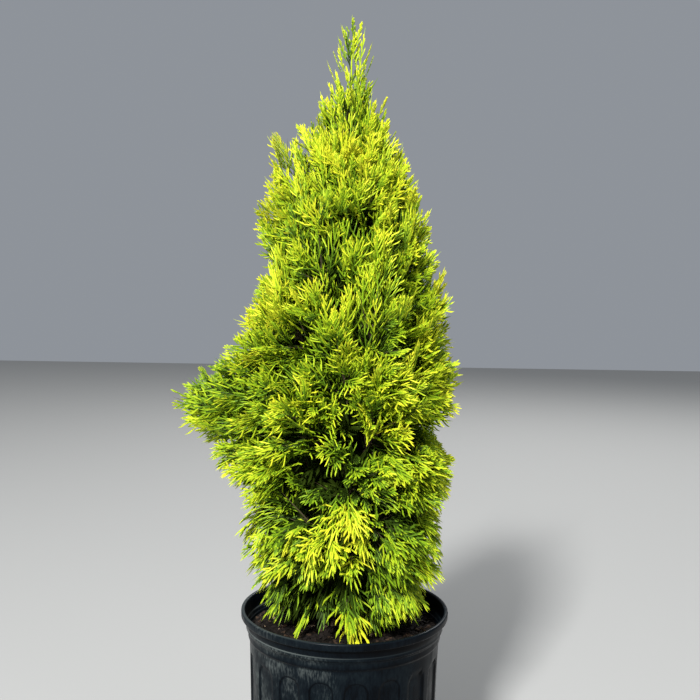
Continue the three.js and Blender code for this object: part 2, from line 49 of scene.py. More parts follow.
def chance(*keys):
    # a repeatable number from 0 to 1 for whole arrays of keys, mixed in the same way as the solids' own
    keys = np.broadcast_arrays(*[np.asarray(key).astype(np.uint32) for key in keys])
    value = np.full(keys[0].shape, 2166136261, dtype=np.uint32)
    with np.errstate(over="ignore"):
        for key in keys:
            value = (value ^ key) * np.uint32(16777619)
            value = value ^ (value >> np.uint32(15))
            value = value * np.uint32(2246822519)
            value = value ^ (value >> np.uint32(13))
    return value / 4294967296


def jitter(*keys):
    # the same number, spread from -1 to 1
    return 2 * chance(*keys) - 1


def varied(by, *keys):
    # a factor near 1, less or more by that much at most
    return 1 + by * jitter(*keys)


def mix(low, high, share):
    # low at share 0, high at share 1, straight between
    return low + (high - low) * share


def smoothStep(low, high, value):
    # 0 below low, 1 above high, with an S curve between them
    share = np.clip((value - low) / (high - low), 0, 1)
    return share * share * (3 - 2 * share)


def unit(vectors):
    # each vector divided by its length
    return vectors / np.maximum(np.linalg.norm(vectors, axis=-1, keepdims=True), 1e-9)


def leaning(along, side, angle):
    # a direction turned by an angle towards another that is square to it
    return along * np.cos(angle)[:, None] + side * np.sin(angle)[:, None]


def azimuthOf(points):
    # the angle round the pot's axis
    return np.arctan2(points[..., 1], points[..., 0])


def fullTurn(count):
    # angles all the way round in even steps
    return np.arange(count) * 2 * np.pi / count


def cloudNoise(points, cell, seed):
    # random values at the corners of a cubic grid, blended smoothly inside each cell, from -1 to 1
    farFromOrigin = 1000
    scaled = np.asarray(points) / cell + farFromOrigin
    corner = np.floor(scaled).astype(np.int64)
    inside = scaled - corner
    blend = inside * inside * (3 - 2 * inside)
    total = 0
    for x in (0, 1):
        for y in (0, 1):
            for z in (0, 1):
                weight = 1
                for axis, side in enumerate((x, y, z)):
                    weight = weight * (blend[..., axis] if side else 1 - blend[..., axis])
                total = total + weight * jitter(
                    corner[..., 0] + x, corner[..., 1] + y, corner[..., 2] + z, seed
                )
    return total


def newObject(name, data):
    # an object with that mesh, lamp or camera, in the scene
    made = bpy.data.objects.new(name, data)
    bpy.context.scene.collection.objects.link(made)
    return made


def makePiece(name, points, faces, material, slot, smooth=False):
    # points in millimetres and equal-sided faces go into one mesh whose object stays at the origin
    mesh = bpy.data.meshes.new(name)
    corners = faces.shape[1]
    mesh.vertices.add(len(points))
    mesh.vertices.foreach_set("co", (points * metresPerMm).astype(np.float32).ravel())
    mesh.loops.add(faces.size)
    mesh.loops.foreach_set("vertex_index", faces.astype(np.int32).ravel())
    mesh.polygons.add(len(faces))
    mesh.polygons.foreach_set("loop_start", np.arange(0, faces.size, corners, dtype=np.int32))
    mesh.polygons.foreach_set("loop_total", np.full(len(faces), corners, dtype=np.int32))
    mesh.polygons.foreach_set("use_smooth", np.full(len(faces), smooth))
    mesh.update(calc_edges=True)
    mesh.validate()
    mesh.materials.append(material)
    piece = newObject(name, mesh)
    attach(piece, "root")
    print(f"{name}: {len(faces) * (corners - 2)} triangles")
    return piece


def wrapFaces(rows, columns):
    # quads between neighbouring rows of a grid whose columns close on themselves
    row = np.arange(rows - 1)[:, None] * columns
    here = np.arange(columns)[None]
    beside = (here + 1) % columns
    quads = np.stack([row + here, row + beside, row + columns + beside, row + columns + here], axis=-1)
    return quads.reshape(-1, 4)


def triangles(quads):
    # each quad as two triangles
    return np.concatenate([quads[:, [0, 1, 2]], quads[:, [0, 2, 3]]])


def closedTube(rings):
    # a grid of rings, closed by a fan round the middle of the first and of the last ring
    rows, columns, _ = rings.shape
    points = np.concatenate([rings.reshape(-1, 3), rings[:1].mean(axis=1), rings[-1:].mean(axis=1)])
    here = np.arange(columns)
    beside = (here + 1) % columns
    first = np.stack([beside, here, np.full(columns, rows * columns)], axis=-1)
    top = (rows - 1) * columns
    last = np.stack([top + here, top + beside, np.full(columns, rows * columns + 1)], axis=-1)
    return points, np.concatenate([triangles(wrapFaces(rows, columns)), first, last])


def joinShapes(shapes):
    # several (points, faces) pairs as one
    points = []
    faces = []
    count = 0
    for shapePoints, shapeFaces in shapes:
        points.append(shapePoints)
        faces.append(shapeFaces + count)
        count += len(shapePoints)
    return np.concatenate(points), np.concatenate(faces)


def named(names, *rows):
    # rows of values, each under the same names
    return [dict(zip(names.split(), row)) for row in rows]


# The plant's rule, in millimetres and degrees, as its solids have it
trunk = {
    "foot": 252.3,
    "tip": 982,
    "footRadius": 13.5,
    "tipRadius": 2.2,
    "flare": 7,
    "flareHeight": 10,
    "swaySide": 5,
    "swayFront": -3,
    "swayLength": 690,
    "swayTurns": 1.6,
    "leaderBend": 0.4,
}
crown = {
    "soilTop": 252,
    "soilClear": 4,
    "top": 1128,
    "heights": [256, 276, 300, 330, 437, 600, 725, 796, 866, 936, 1006, 1045, 1075, 1105, 1128],
    "radii": [60, 94, 130, 153, 168, 180, 153, 133, 110, 80, 57, 42, 32, 22, 7],
    "lobes": 5,
    "lobeDepth": 0.033,
    "lobeTurn": 0.011,
}
# a place on the crown: its height, its azimuth, by how much, and how tall and how wide in degrees it is
placeNames = "height azimuth by tall wide"
# where the crown swells or draws in, and how far
swells = named(
    placeNames,
    (590, 180, 86, 46, 34),
    (655, 180, 22, 60, 40),
    (520, 180, 34, 60, 40),
    (950, 180, 50, 36, 24),
    (860, 180, 30, 50, 35),
    (540, 0, -28, 26, 30),
    (690, 60, 14, 60, 30),
    (280, 272, 32, 18, 16),
    (480, 115, 18, 60, 30),
)
# tiers of limbs from the soil up: how many, the first one's azimuth, where a limb leaves the trunk, where
# its last spray meets the limit, how soon it rises, and the share of it that is a bare bough
tiers = named(
    "name count firstAt leaves ends arch wood",
    ("skirt", 6, 30, 296, 294, 1.1, 0),
    ("lower", 6, 0, 344, 370, 0.8, 0),
    ("belly", 6, 30, 398, 466, 0.65, 0.42),
    ("waist", 6, 0, 468, 582, 0.5, 0.44),
    ("chest", 5, 54, 545, 668, 0.4, 0),
    ("shoulder", 5, 0, 622, 755, 0.3, 0),
    ("neck", 4, 65, 712, 850, 0.25, 0),
    ("upper", 3, 50, 800, 950, 0.2, 0),
    ("crest", 3, 0, 876, 1038, 0.15, 0),
)
limbs = {
    "azimuthJitter": 6,
    "rootJitter": 4,
    "heightJitter": 10,
    "stagger": 10,
    "bend": 0.6,
    "keysPerTier": 16,
    "lastSpray": 84,
    "leaderSpray": 40,
    "samples": 10,
}
liftByHeight = {
    "heights": [290, 400, 520, 640, 800, 1128],
    "degrees": [-55, -34, -5, 30, 58, 82],
}
# the key of each draw of chance; the first three are the solids' own
draw = {
    "azimuth": 1,
    "rootHeight": 2,
    "limitHeight": 3,
    "twigTurn": 4,
    "twigLength": 5,
    "twigPlane": 6,
    "fanAngle": 7,
    "frondRoll": 8,
    "frondLength": 9,
    "frondLimit": 10,
    "fingerAngle": 11,
    "fingerLength": 12,
    "tone": 13,
    "frondKept": 14,
    "massTone": 15,
    "young": 16,
    "innerTurn": 4,
    "innerAngle": 5,
    "innerRoll": 8,
    "innerLength": 9,
    "fibres": 21,
    "plates": 22,
    "lumps": 41,
    "grains": 42,
    "chipTilt": 7,
}


def bell(height, azimuth, place):
    # a bell curve over height and azimuth, 1 in its middle
    turned = azimuth - place["azimuth"] * degree
    turned = np.arctan2(np.sin(turned), np.cos(turned))
    upright = (height - place["height"]) / place["tall"]
    sideways = turned / (place["wide"] * degree)
    return np.exp(-upright * upright - sideways * sideways)


def meanReach(height):
    # the crown's mean radius, in straight runs between its levels
    return np.interp(height, crown["heights"], crown["radii"])


def crownReach(height, azimuth):
    # the mean radius at a height, plus a bell curve for each swell, times one shallow wave of lobes
    reach = meanReach(height)
    for swell in swells:
        reach = reach + swell["by"] * bell(height, azimuth, swell)
    return reach * (1 + crown["lobeDepth"] * np.sin(crown["lobes"] * azimuth + crown["lobeTurn"] * height))


def riseShare(height):
    # 0 at the soil and 1 at the crown's top
    return (height - crown["soilTop"]) / (crown["top"] - crown["soilTop"])


def trunkAxis(height):
    # the trunk's centre line: one slow sine to the side and another to the front
    share = (np.asarray(height, float) - trunk["foot"]) / trunk["swayLength"]
    side = trunk["swaySide"] * np.sin(np.pi * share)
    front = trunk["swayFront"] * np.sin(trunk["swayTurns"] * np.pi * share)
    return np.stack([side, front, np.asarray(height, float) + 0 * share], axis=-1)


def trunkRadius(height):
    # a straight taper plus a flare that dies away above the soil
    share = (height - trunk["foot"]) / (trunk["tip"] - trunk["foot"])
    flare = trunk["flare"] * np.exp(-(height - trunk["foot"]) / trunk["flareHeight"])
    return mix(trunk["footRadius"], trunk["tipRadius"], share) + flare


def liftAt(height):
    # how far growth rises above the level at a height, as an angle
    return np.interp(height, liftByHeight["heights"], liftByHeight["degrees"]) * degree


def curvePoint(curve, share):
    # a quadratic curve through root and tip, drawn towards its bend
    share = np.asarray(share, float)[..., None]
    return (1 - share) ** 2 * curve[0] + 2 * share * (1 - share) * curve[1] + share**2 * curve[2]


def curveDirection(curve, share):
    # the direction in which that curve runs
    share = np.asarray(share, float)[..., None]
    return unit((1 - share) * (curve[1] - curve[0]) + share * (curve[2] - curve[1]))


def stemPoint(stem, share):
    # the curve of a mass's stem, and past its tip the line of its last spray where the crown swells
    beyond = np.maximum(share - 1, 0)[..., None]
    return curvePoint(stem["curve"], np.minimum(share, 1)) + beyond * stem["runOn"]


def limbCurve(tier, tierNumber, place):
    # from the trunk, out under its arch, to where its last spray starts; where the crown swells that spray
    # is longer, and the stem runs on in it
    azimuth = (tier["firstAt"] + 360 * place / tier["count"]) * degree
    azimuth += limbs["azimuthJitter"] * degree * float(jitter(tierNumber, place, draw["azimuth"]))
    stagger = limbs["stagger"] * (-1 if place % 2 == 0 else 1)
    uneven = limbs["rootJitter"] * float(jitter(tierNumber, place, draw["rootHeight"]))
    rootHeight = tier["leaves"] + stagger + uneven
    limitHeight = tier["ends"] + limbs["heightJitter"] * float(
        jitter(tierNumber, place, draw["limitHeight"])
    )
    outward = np.array([math.cos(azimuth), math.sin(azimuth), 0])
    lift = liftAt(limitHeight)
    root = trunkAxis(rootHeight)
    limit = crownReach(limitHeight, azimuth)
    lastSpray = limbs["lastSpray"] * limit / meanReach(limitHeight)
    reach = limit - lastSpray * math.cos(lift)
    tip = outward * reach + upwards * (limitHeight - lastSpray * math.sin(lift))
    bend = root + outward * limbs["bend"] * reach
    bend[2] = mix(rootHeight, tip[2], tier["arch"])
    runOn = max(0, lastSpray - limbs["lastSpray"]) * (outward * math.cos(lift) + upwards * math.sin(lift))
    return np.array([root, bend, tip]), runOn


def leaderCurve():
    # straight on from the trunk's tip
    root = trunkAxis(trunk["tip"])
    bend = root.copy()
    bend[0] -= trunk["swaySide"] / 2
    bend[2] = mix(trunk["tip"], crown["top"], trunk["leaderBend"])
    tip = root.copy()
    tip[2] = crown["top"] - limbs["leaderSpray"]
    return np.array([root, bend, tip])


def planMass(node, tier, key, curve, runOn):
    # a mass with its stem's curve, the share of it that is bough, and points along its own stem
    length = np.linalg.norm(curve[2] - curve[0])
    outward = curve[2] - curve[0]
    outward[2] = 0
    return {
        "node": node,
        "bough": node.replace("foliage", "bough") if tier["wood"] else None,
        "curve": curve,
        "runOn": unit(runOn) * length,
        "end": 1 + np.linalg.norm(runOn) / length,
        "wood": tier["wood"],
        "tier": tier["name"],
        "count": tier["count"],
        "key": key,
        "leader": tier["name"] == "leader",
        "outward": unit(outward),
        "samples": curvePoint(curve, np.linspace(tier["wood"], 1, limbs["samples"])),
    }


def planMasses():
    # the masses of every tier from the soil up, and the leader last
    planned = []
    for tierNumber, tier in enumerate(tiers):
        for place in range(tier["count"]):
            node = f"{tier['name']}_foliage_{place + 1}"
            key = tierNumber * limbs["keysPerTier"] + place
            planned.append(planMass(node, tier, key, *limbCurve(tier, tierNumber, place)))
    leader = {"name": "leader", "count": 1, "wood": 0}
    key = len(tiers) * limbs["keysPerTier"]
    planned.append(planMass("leader_foliage", leader, key, leaderCurve(), np.zeros(3)))
    return planned


masses = planMasses()
stemSamples = np.stack([mass["samples"] for mass in masses])
print(f"planned {len(masses)} masses of foliage")

# Finer growth than the solids': twigs round each stem, fronds along each twig, fingers along each frond.
# Lengths are in millimetres and angles in degrees, but turnJitter is in radians
growth = {
    "mostTriangles": 195000,
    "sideTiers": ("upper",),
    "sideFrom": 0.3,
    "sideTurn": 0.62,
    "sideTwigs": 9,
    "sideKeys": 150,
    "keysPerMass": 1000,
    "keysPerTwig": 16,
    "mainTwigs": 16,
    "firstShare": 0.1,
    "trunkShare": 0.16,
    "tipShare": 0.02,
    "twigEvery": 6.0,
    "fewestTwigs": 20,
    "twigAngle": 64,
    "twigClosing": 0.55,
    "twigFree": 0.35,
    "leaderTwigAngle": 48,
    "twigTurn": 137.5,
    "turnJitter": 0.5,
    "twigLength": 100,
    "leaderTwigLength": 38,
    "twigLengthJitter": 0.2,
    "twigShortening": 0.25,
    "twigShortest": 8,
    "twigRadii": (1.5, 1.0),
    "twigInset": 24,
    "twigColor": (0.055, 0.042, 0.014),
    "frondEvery": 13,
    "firstFrond": 0.22,
    "facingUp": 0.3,
    "planeRoll": 70,
    "fanJitter": 0.25,
    "frondAngle": 38,
    "frondLength": 84,
    "frondTopLength": 56,
    "frondShortest": 20,
    "frondLengthJitter": 0.18,
    "liftWeight": 0.65,
    "turnRadius": 83,
    "outwardWeight": 0.3,
    "rollJitter": 24,
    "slack": 26,
    "slackLow": 0.8,
    "slackHigh": 2.4,
    "roomSteps": 14,
    "limitLow": 0.73,
    "limitTopLow": 0.56,
    "limitHigh": 0.96,
    "limitPower": 0.85,
    "limitTopPower": 2.0,
    "wiryFrom": 850,
    "wiryTo": 960,
    "wirySlim": 0.5,
    "sparseFrom": 985,
    "sparseTo": 1060,
    "outlyingFrom": 830,
    "outlyingBy": 12,
    "keptLow": 0.86,
    "keptHigh": 1.0,
    "sparseKept": 0.27,
    "outlyingLonger": 0.25,
    "outlyingKept": 0.55,
    "outlyingSlim": 0.42,
    "footTo": 335,
    "footKept": 0.75,
    "shootPlace": {"height": 735, "azimuth": 272, "tall": 90, "wide": 20},
    "shootShare": 0.7,
    "shootLift": 2.2,
    "shootSlim": 0.45,
    "notchHeights": (345, 446, 548),
    "notchTall": 15,
    "notchDepth": 0.2,
    "notchSway": 12,
    "notchWaves": 3,
    "deepest": 0.5,
}
# dark hollows between the fans, by a share of the reach; a negative one fills the ring below a tier
hollows = named(
    placeNames,
    (793, 248, 0.39, 22, 9),
    (686, 277, 0.39, 26, 6),
    (664, 254, 0.26, 18, 7),
    (625, 261, 0.34, 20, 8),
    (515, 242, 0.44, 18, 9),
    (532, 277, 0.39, 16, 8),
    (492, 260, 0.52, 22, 11),
    (462, 236, 0.28, 16, 9),
    (395, 284, 0.44, 18, 8),
    (345, 285, 0.52, 22, 12),
    (335, 255, 0.47, 20, 9),
    (330, 232, 0.47, 20, 10),
    (545, 190, -0.2, 30, 40),
    (985, 190, 0.26, 24, 36),
)
# where the sprays run right to the crown's limit
reaching = named(
    placeNames,
    (485, 0, 1, 60, 40),
    (520, 180, 1, 50, 40),
    (370, 350, 1, 60, 40),
    (720, 180, 1, 60, 30),
)

# The inside of each mass, dark with painted shade: coarser fronds straight from its stem; turnJitter is in
# radians
inner = {
    "count": 34,
    "from": 0.04,
    "to": 0.76,
    "angle": 74,
    "turn": 99,
    "turnJitter": 0.4,
    "angleJitter": 0.2,
    "roll": 60,
    "start": 5,
    "length": 74,
    "topLength": 34,
    "lengthJitter": 0.3,
    "inset": 34,
    "slack": 40,
    "shortest": 22,
    "width": 1.7,
    "keys": 500,
    "amberFrom": 905,
    # the shaded colour is painted shade, and the amber one painted light high up
    "shaded": (0.015, 0.026, 0.002),
    "lit_amber": (0.30, 0.25, 0.008),
}


def gapShare(height, azimuth):
    # the share of the reach that fronds keep out of: in the hollows, and in a ring below each lower tier
    share = sum(hollow["by"] * bell(height, azimuth, hollow) for hollow in hollows)
    for middle in growth["notchHeights"]:
        level = middle + growth["notchSway"] * np.sin(growth["notchWaves"] * azimuth + middle)
        share = share + growth["notchDepth"] * np.exp(-(((height - level) / growth["notchTall"]) ** 2))
    return np.clip(share, 0, growth["deepest"])


def insideCrown(points, mass, inset, slack, swollen=True):
    # inside the crown's limit less an inset, above the soil, and not nearer another stem than allowed
    height = points[..., 2]
    azimuth = azimuthOf(points)
    reach = crownReach(height, azimuth) * (1 - gapShare(height, azimuth))
    if not swollen:
        reach = np.minimum(reach, meanReach(height))
    inside = np.hypot(points[..., 0], points[..., 1]) < reach - inset
    inside &= (height > crown["soilTop"] + crown["soilClear"]) & (height < crown["top"])
    number = masses.index(mass)
    flat = points.reshape(-1, 3)
    gaps = np.linalg.norm(flat[:, None, None] - stemSamples[None], axis=-1).min(axis=2)
    own = gaps[:, number].copy()
    gaps[:, number] = np.inf
    allowed = slack * mix(growth["slackLow"], growth["slackHigh"], riseShare(height.ravel()))
    return inside & (own - allowed < gaps.min(axis=1)).reshape(inside.shape)


def roomAlong(starts, along, longest, mass, inset, slack, swollen=True):
    # equal steps along each line; the room ends at the last step before one that leaves the space
    shares = np.arange(1, growth["roomSteps"] + 1) / growth["roomSteps"]
    points = starts[:, None] + along[:, None] * (longest[:, None] * shares)[..., None]
    inside = insideCrown(points, mass, np.broadcast_to(inset, longest.shape)[:, None], slack, swollen)
    steps = np.where(inside.all(axis=1), growth["roomSteps"], np.argmin(inside, axis=1))
    return longest * steps / growth["roomSteps"]


def across(along, facing, roll):
    # a direction across growth that turns its flat face to the outside, then rolled about it
    side = np.cross(facing, along)
    flat = np.linalg.norm(side, axis=-1, keepdims=True) < nearlyParallel
    side = unit(np.where(flat, np.cross(upwards, along) + smallStep, side))
    return leaning(side, np.cross(along, side), roll)


def roundStem(along, turn):
    # a direction square to a stem, at a turn round it
    side = unit(np.cross(upwards, along) + [tinyStep, 0, 0])
    return leaning(side, np.cross(along, side), turn)


def freeDirection(points, outward):
    # out from the axis and along the mass, raised or lowered by height
    level = unit(points * [1, 1, 0] / growth["turnRadius"] + growth["outwardWeight"] * outward)
    lift = liftAt(points[..., 2])[..., None]
    return level * np.cos(lift) + upwards * np.sin(lift)


def outlyingShare(points):
    # 1 where the crown swells past its mean high up, 0 elsewhere
    beyond = np.hypot(points[:, 0], points[:, 1]) - meanReach(points[:, 2])
    return smoothStep(0, growth["outlyingBy"], beyond) * (points[:, 2] > growth["outlyingFrom"])


def topShare(points):
    # 1 among the thin shoots of the top, 0 elsewhere
    return smoothStep(growth["sparseFrom"], growth["sparseTo"], points[:, 2])


def wiryShare(points):
    # 1 high in the crown, where the sprays are plain forked shoots, 0 lower down
    return smoothStep(growth["wiryFrom"], growth["wiryTo"], points[..., 2])


def youngShoots(root, key):
    # true for the fronds of the front that stand upright
    share = growth["shootShare"] * bell(root[:, 2], azimuthOf(root), growth["shootPlace"])
    return chance(key, draw["young"]) < share


def planStem(curve, runOn, end, first, twigs, firstKey):
    # a stem's curve, its run past the curve's tip, where its twigs begin and end, their number and keys
    return {
        "curve": curve,
        "runOn": runOn,
        "end": end,
        "first": first,
        "twigs": twigs,
        "firstKey": firstKey,
    }


def sideStems(mass):
    # where the masses of a tier stand wide apart, a finer stem leaves the main one towards each side; its
    # tip is the main one's, turned about the axis and moved out or in as the crown's reach changes
    curve = mass["curve"]
    stems = []
    for side in (-1, 1):
        turn = side * growth["sideTurn"] * np.pi / mass["count"]
        cosine = math.cos(turn)
        sine = math.sin(turn)
        tip = np.array([[cosine, -sine, 0], [sine, cosine, 0], [0, 0, 1]]) @ curve[2]
        reaches = crownReach(curve[2][2], azimuthOf(np.array([tip, curve[2]])))
        tip = tip * [reaches[0] / reaches[1], reaches[0] / reaches[1], 1]
        root = curvePoint(curve, growth["sideFrom"])
        bend = (root + tip) / 2 + (curve[1] - (curve[0] + curve[2]) / 2) * [0, 0, 1]
        keys = growth["sideKeys"] * (len(stems) + 1)
        path = np.array([root, bend, tip])
        stems.append(planStem(path, np.zeros(3), 1, growth["firstShare"], growth["sideTwigs"], keys))
    return stems


def allStems(mass):
    # the main stem and the side stems of a mass
    first = mix(mass["wood"], 1, growth["firstShare"]) if mass["wood"] else growth["trunkShare"]
    if mass["leader"]:
        first = 0.0
    length = np.linalg.norm(mass["curve"][2] - mass["curve"][0]) * (mass["end"] - first)
    wide = mass["tier"] in growth["sideTiers"]
    fewest = growth["mainTwigs"] if wide else growth["fewestTwigs"]
    twigs = max(fewest, int(length / growth["twigEvery"]))
    main = planStem(mass["curve"], mass["runOn"], mass["end"], first, twigs, 0)
    return [main] + (sideStems(mass) if wide else [])


def growTwigs(mass, stem):
    # twigs turn round their stem by the golden angle; each runs as far as its mass's own space lets it
    number = np.arange(stem["twigs"])
    at = mix(stem["first"], stem["end"] - growth["tipShare"], number / (stem["twigs"] - 1))
    root = stemPoint(stem, at)
    past = (at > 1)[:, None]
    at = np.minimum(at, 1)
    stemAlong = np.where(past, unit(stem["runOn"]), curveDirection(stem["curve"], at))
    number = number + stem["firstKey"]
    uneven = growth["turnJitter"] * jitter(mass["key"], number, draw["twigTurn"])
    side = roundStem(stemAlong, number * growth["twigTurn"] * degree + uneven)
    angle = growth["leaderTwigAngle"] if mass["leader"] else growth["twigAngle"]
    along = leaning(stemAlong, side, angle * degree * (1 - growth["twigClosing"] * at))
    along = unit(along + growth["twigFree"] * freeDirection(root, mass["outward"]))
    wanted = growth["leaderTwigLength"] if mass["leader"] else growth["twigLength"]
    uneven = varied(growth["twigLengthJitter"], mass["key"], number, draw["twigLength"])
    longest = wanted * (1 - growth["twigShortening"] * at) * uneven
    length = roomAlong(root, along, longest, mass, growth["twigInset"], growth["slack"])
    kept = length > growth["twigShortest"]
    key = mass["key"] * growth["keysPerMass"] + number
    return root[kept], along[kept], length[kept], key[kept]


def frondLimit(root, key, outlying):
    # the share of the crown's reach that a frond may use: by chance, but all of it in an outlying spray
    # and where the sprays run right to the limit; high up chance keeps more of them short
    wiry = wiryShare(root)
    farther = chance(key, draw["frondLimit"]) ** mix(growth["limitPower"], growth["limitTopPower"], wiry)
    farther = np.maximum(farther, outlying)
    for place in reaching:
        farther = np.maximum(farther, place["by"] * bell(root[:, 2], azimuthOf(root), place))
    return mix(mix(growth["limitLow"], growth["limitTopLow"], wiry), growth["limitHigh"], farther)


def frondKept(tip, key, rise, outlying):
    # true for the fronds that chance keeps: fewer low down, at the very top and in an outlying spray
    share = mix(growth["keptLow"], growth["keptHigh"], rise) * mix(1, growth["sparseKept"], topShare(tip))
    share = share * mix(1, growth["outlyingKept"], outlying)
    share = np.where(tip[:, 2] < growth["footTo"], growth["footKept"], share)
    return chance(key, draw["frondKept"]) < share


def growFronds(mass, twigRoot, twigAlong, twigLength, twigKey):
    # flat fronds stand out of a twig on alternate sides in one plane, and one carries on from its tip
    perTwig = np.maximum(1, (twigLength / growth["frondEvery"]).astype(int)) + 1
    twig = np.repeat(np.arange(len(perTwig)), perTwig)
    step = np.arange(len(twig)) - np.repeat(np.cumsum(perTwig) - perTwig, perTwig)
    last = step == perTwig[twig] - 1
    at = mix(growth["firstFrond"], 1.0, step / np.maximum(1, perTwig[twig] - 1))
    key = twigKey[twig] * growth["keysPerTwig"] + step
    root = twigRoot[twig] + twigAlong[twig] * (at * twigLength[twig])[:, None]
    facing = unit(freeDirection(root, mass["outward"]) * [1, 1, 0] + upwards * growth["facingUp"])
    massFacing = unit(mass["outward"] + upwards * growth["facingUp"])[None] + 0 * twigAlong
    planeRoll = growth["planeRoll"] * degree * jitter(twigKey, draw["twigPlane"])
    plane = across(twigAlong, massFacing, planeRoll)[twig]
    fanAngle = growth["frondAngle"] * degree * np.where(last, 0, np.where(step % 2 == 0, 1, -1))
    fanAngle = fanAngle * varied(growth["fanJitter"], key, draw["fanAngle"])
    along = leaning(twigAlong[twig], plane, fanAngle)
    along = unit(along + growth["liftWeight"] * freeDirection(root, mass["outward"]))
    young = youngShoots(root, key)
    along = unit(along + growth["shootLift"] * young[:, None] * upwards)
    side = across(along, facing, growth["rollJitter"] * degree * jitter(key, draw["frondRoll"]))
    rise = riseShare(root[:, 2])
    wanted = mix(growth["frondLength"], growth["frondTopLength"], rise)
    wanted = wanted * varied(growth["frondLengthJitter"], key, draw["frondLength"])
    outlying = outlyingShare(root + along * wanted[:, None])
    wanted = wanted * (1 + growth["outlyingLonger"] * outlying)
    inset = crownReach(root[:, 2], azimuthOf(root)) * (1 - frondLimit(root, key, outlying))
    length = roomAlong(root, along, wanted, mass, inset, growth["slack"])
    tip = root + along * length[:, None]
    kept = (length > growth["frondShortest"]) & frondKept(tip, key, rise, outlying)
    if mass["leader"]:
        kept |= last & (length > growth["frondShortest"] / 2)
    slim = np.maximum(growth["outlyingSlim"] * outlying, growth["shootSlim"] * young)
    slim = np.maximum(slim, growth["wirySlim"] * wiryShare(root))
    slim = np.maximum(slim, topShare(tip))
    return root[kept], along[kept], side[kept], length[kept], key[kept], slim[kept]


def growInner(mass):
    # fronds turned round the first part of the stem by a fixed angle, as long as their space lets them be
    number = np.arange(inner["count"])
    at = mix(inner["from"], inner["to"], number / (inner["count"] - 1))
    key = (mass["key"] * growth["keysPerMass"] + inner["keys"] + number) * growth["keysPerTwig"]
    stemAlong = curveDirection(mass["curve"], at)
    uneven = inner["turnJitter"] * jitter(key, draw["innerTurn"])
    side = roundStem(stemAlong, number * inner["turn"] * degree + uneven)
    angle = inner["angle"] * degree * varied(inner["angleJitter"], key, draw["innerAngle"])
    along = unit(leaning(stemAlong, side, angle))
    root = curvePoint(mass["curve"], at) + along * inner["start"]
    wanted = mix(inner["length"], inner["topLength"], riseShare(root[:, 2]))
    wanted = wanted * varied(inner["lengthJitter"], key, draw["innerLength"])
    length = roomAlong(root, along, wanted, mass, inner["inset"], inner["slack"], swollen=False)
    roll = inner["roll"] * degree * jitter(key, draw["innerRoll"])
    plane = across(along, unit(root * [1, 1, 0] + [0, 0, smallStep]), roll)
    kept = length > inner["shortest"]
    return root[kept], along[kept], plane[kept], length[kept], key[kept], 0 * length[kept]


# One frond's pattern, in shares of its length: an axis, side branches by turns, and their own fingers.
# Its widths and thickness are in millimetres, its angles in degrees, and angleJitter is in radians
frond = {
    "axisLength": 0.97,
    "branches": 7,
    "firstAt": 0.08,
    "lastAt": 0.8,
    "branchLength": 0.5,
    "branchTipLength": 0.19,
    "branchTaper": 0.8,
    "branchLow": 0.75,
    "branchRise": 0.5,
    "rootAngle": 35,
    "tipAngle": 20,
    "branchFingers": (0.32, 0.6),
    "fingersUntil": 0.75,
    "fingerAngle": 23,
    "fingerLength": 0.6,
    "fingerAtRoot": 1.15,
    "fingerShortening": 0.5,
    "angleJitter": 0.12,
    "lengthJitter": 0.13,
    "widthLow": 2.8,
    "widthHigh": 2.1,
    "finestNarrower": 0.12,
    "rootWidth": 0.7,
    "slimmed": 0.5,
    "narrowed": 0.25,
    "thickness": 1.3,
    "rootThickness": 0.8,
    "tipThickness": 0.3,
    "fullAt": 0.7,
    "closing": 0.4,
    "droopLow": 0.5,
    "droopHigh": -0.12,
    "droopUntil": 0.6,
    "raisedPlace": {"height": 600, "azimuth": 180, "tall": 55, "wide": 26},
    "raisedBy": 0.12,
    "curl": 0.3,
    "smallBelow": 40,
    "slimFrom": 0.45,
}


def frondPattern():
    # a row for each finger: root forward, root sideways, angle, length, and whether it is a finest one
    rows = [[0.0, 0.0, 0.0, frond["axisLength"], 0]]
    for branch in range(frond["branches"]):
        share = branch / (frond["branches"] - 1)
        turn = 1 if branch % 2 else -1
        root = mix(frond["firstAt"], frond["lastAt"], share)
        length = frond["branchLength"] * (1 - share) ** frond["branchTaper"]
        length = frond["branchTipLength"] + length * (frond["branchLow"] + frond["branchRise"] * share)
        angle = turn * mix(frond["rootAngle"], frond["tipAngle"], share) * degree
        rows.append([root, 0.0, angle, length, 0])
        if share > frond["fingersUntil"]:
            continue
        for number, at in enumerate(frond["branchFingers"]):
            lean = angle + (1 if number % 2 else -1) * turn * frond["fingerAngle"] * degree
            forward = root + at * length * math.cos(angle)
            sideways = at * length * math.sin(angle)
            shorter = frond["fingerAtRoot"] - at * frond["fingerShortening"]
            rows.append([forward, sideways, lean, frond["fingerLength"] * length * shorter, 1])
    return np.array(rows)


def frondDroop(root):
    # how far a frond's tip sinks, as a share of its length: most low down, upwards high up, and less in
    # the swelling on the left
    raised = bell(root[:, 2], azimuthOf(root), frond["raisedPlace"])
    high = smoothStep(0, frond["droopUntil"], riseShare(root[:, 2]))
    return mix(frond["droopLow"], frond["droopHigh"], high) - frond["raisedBy"] * raised


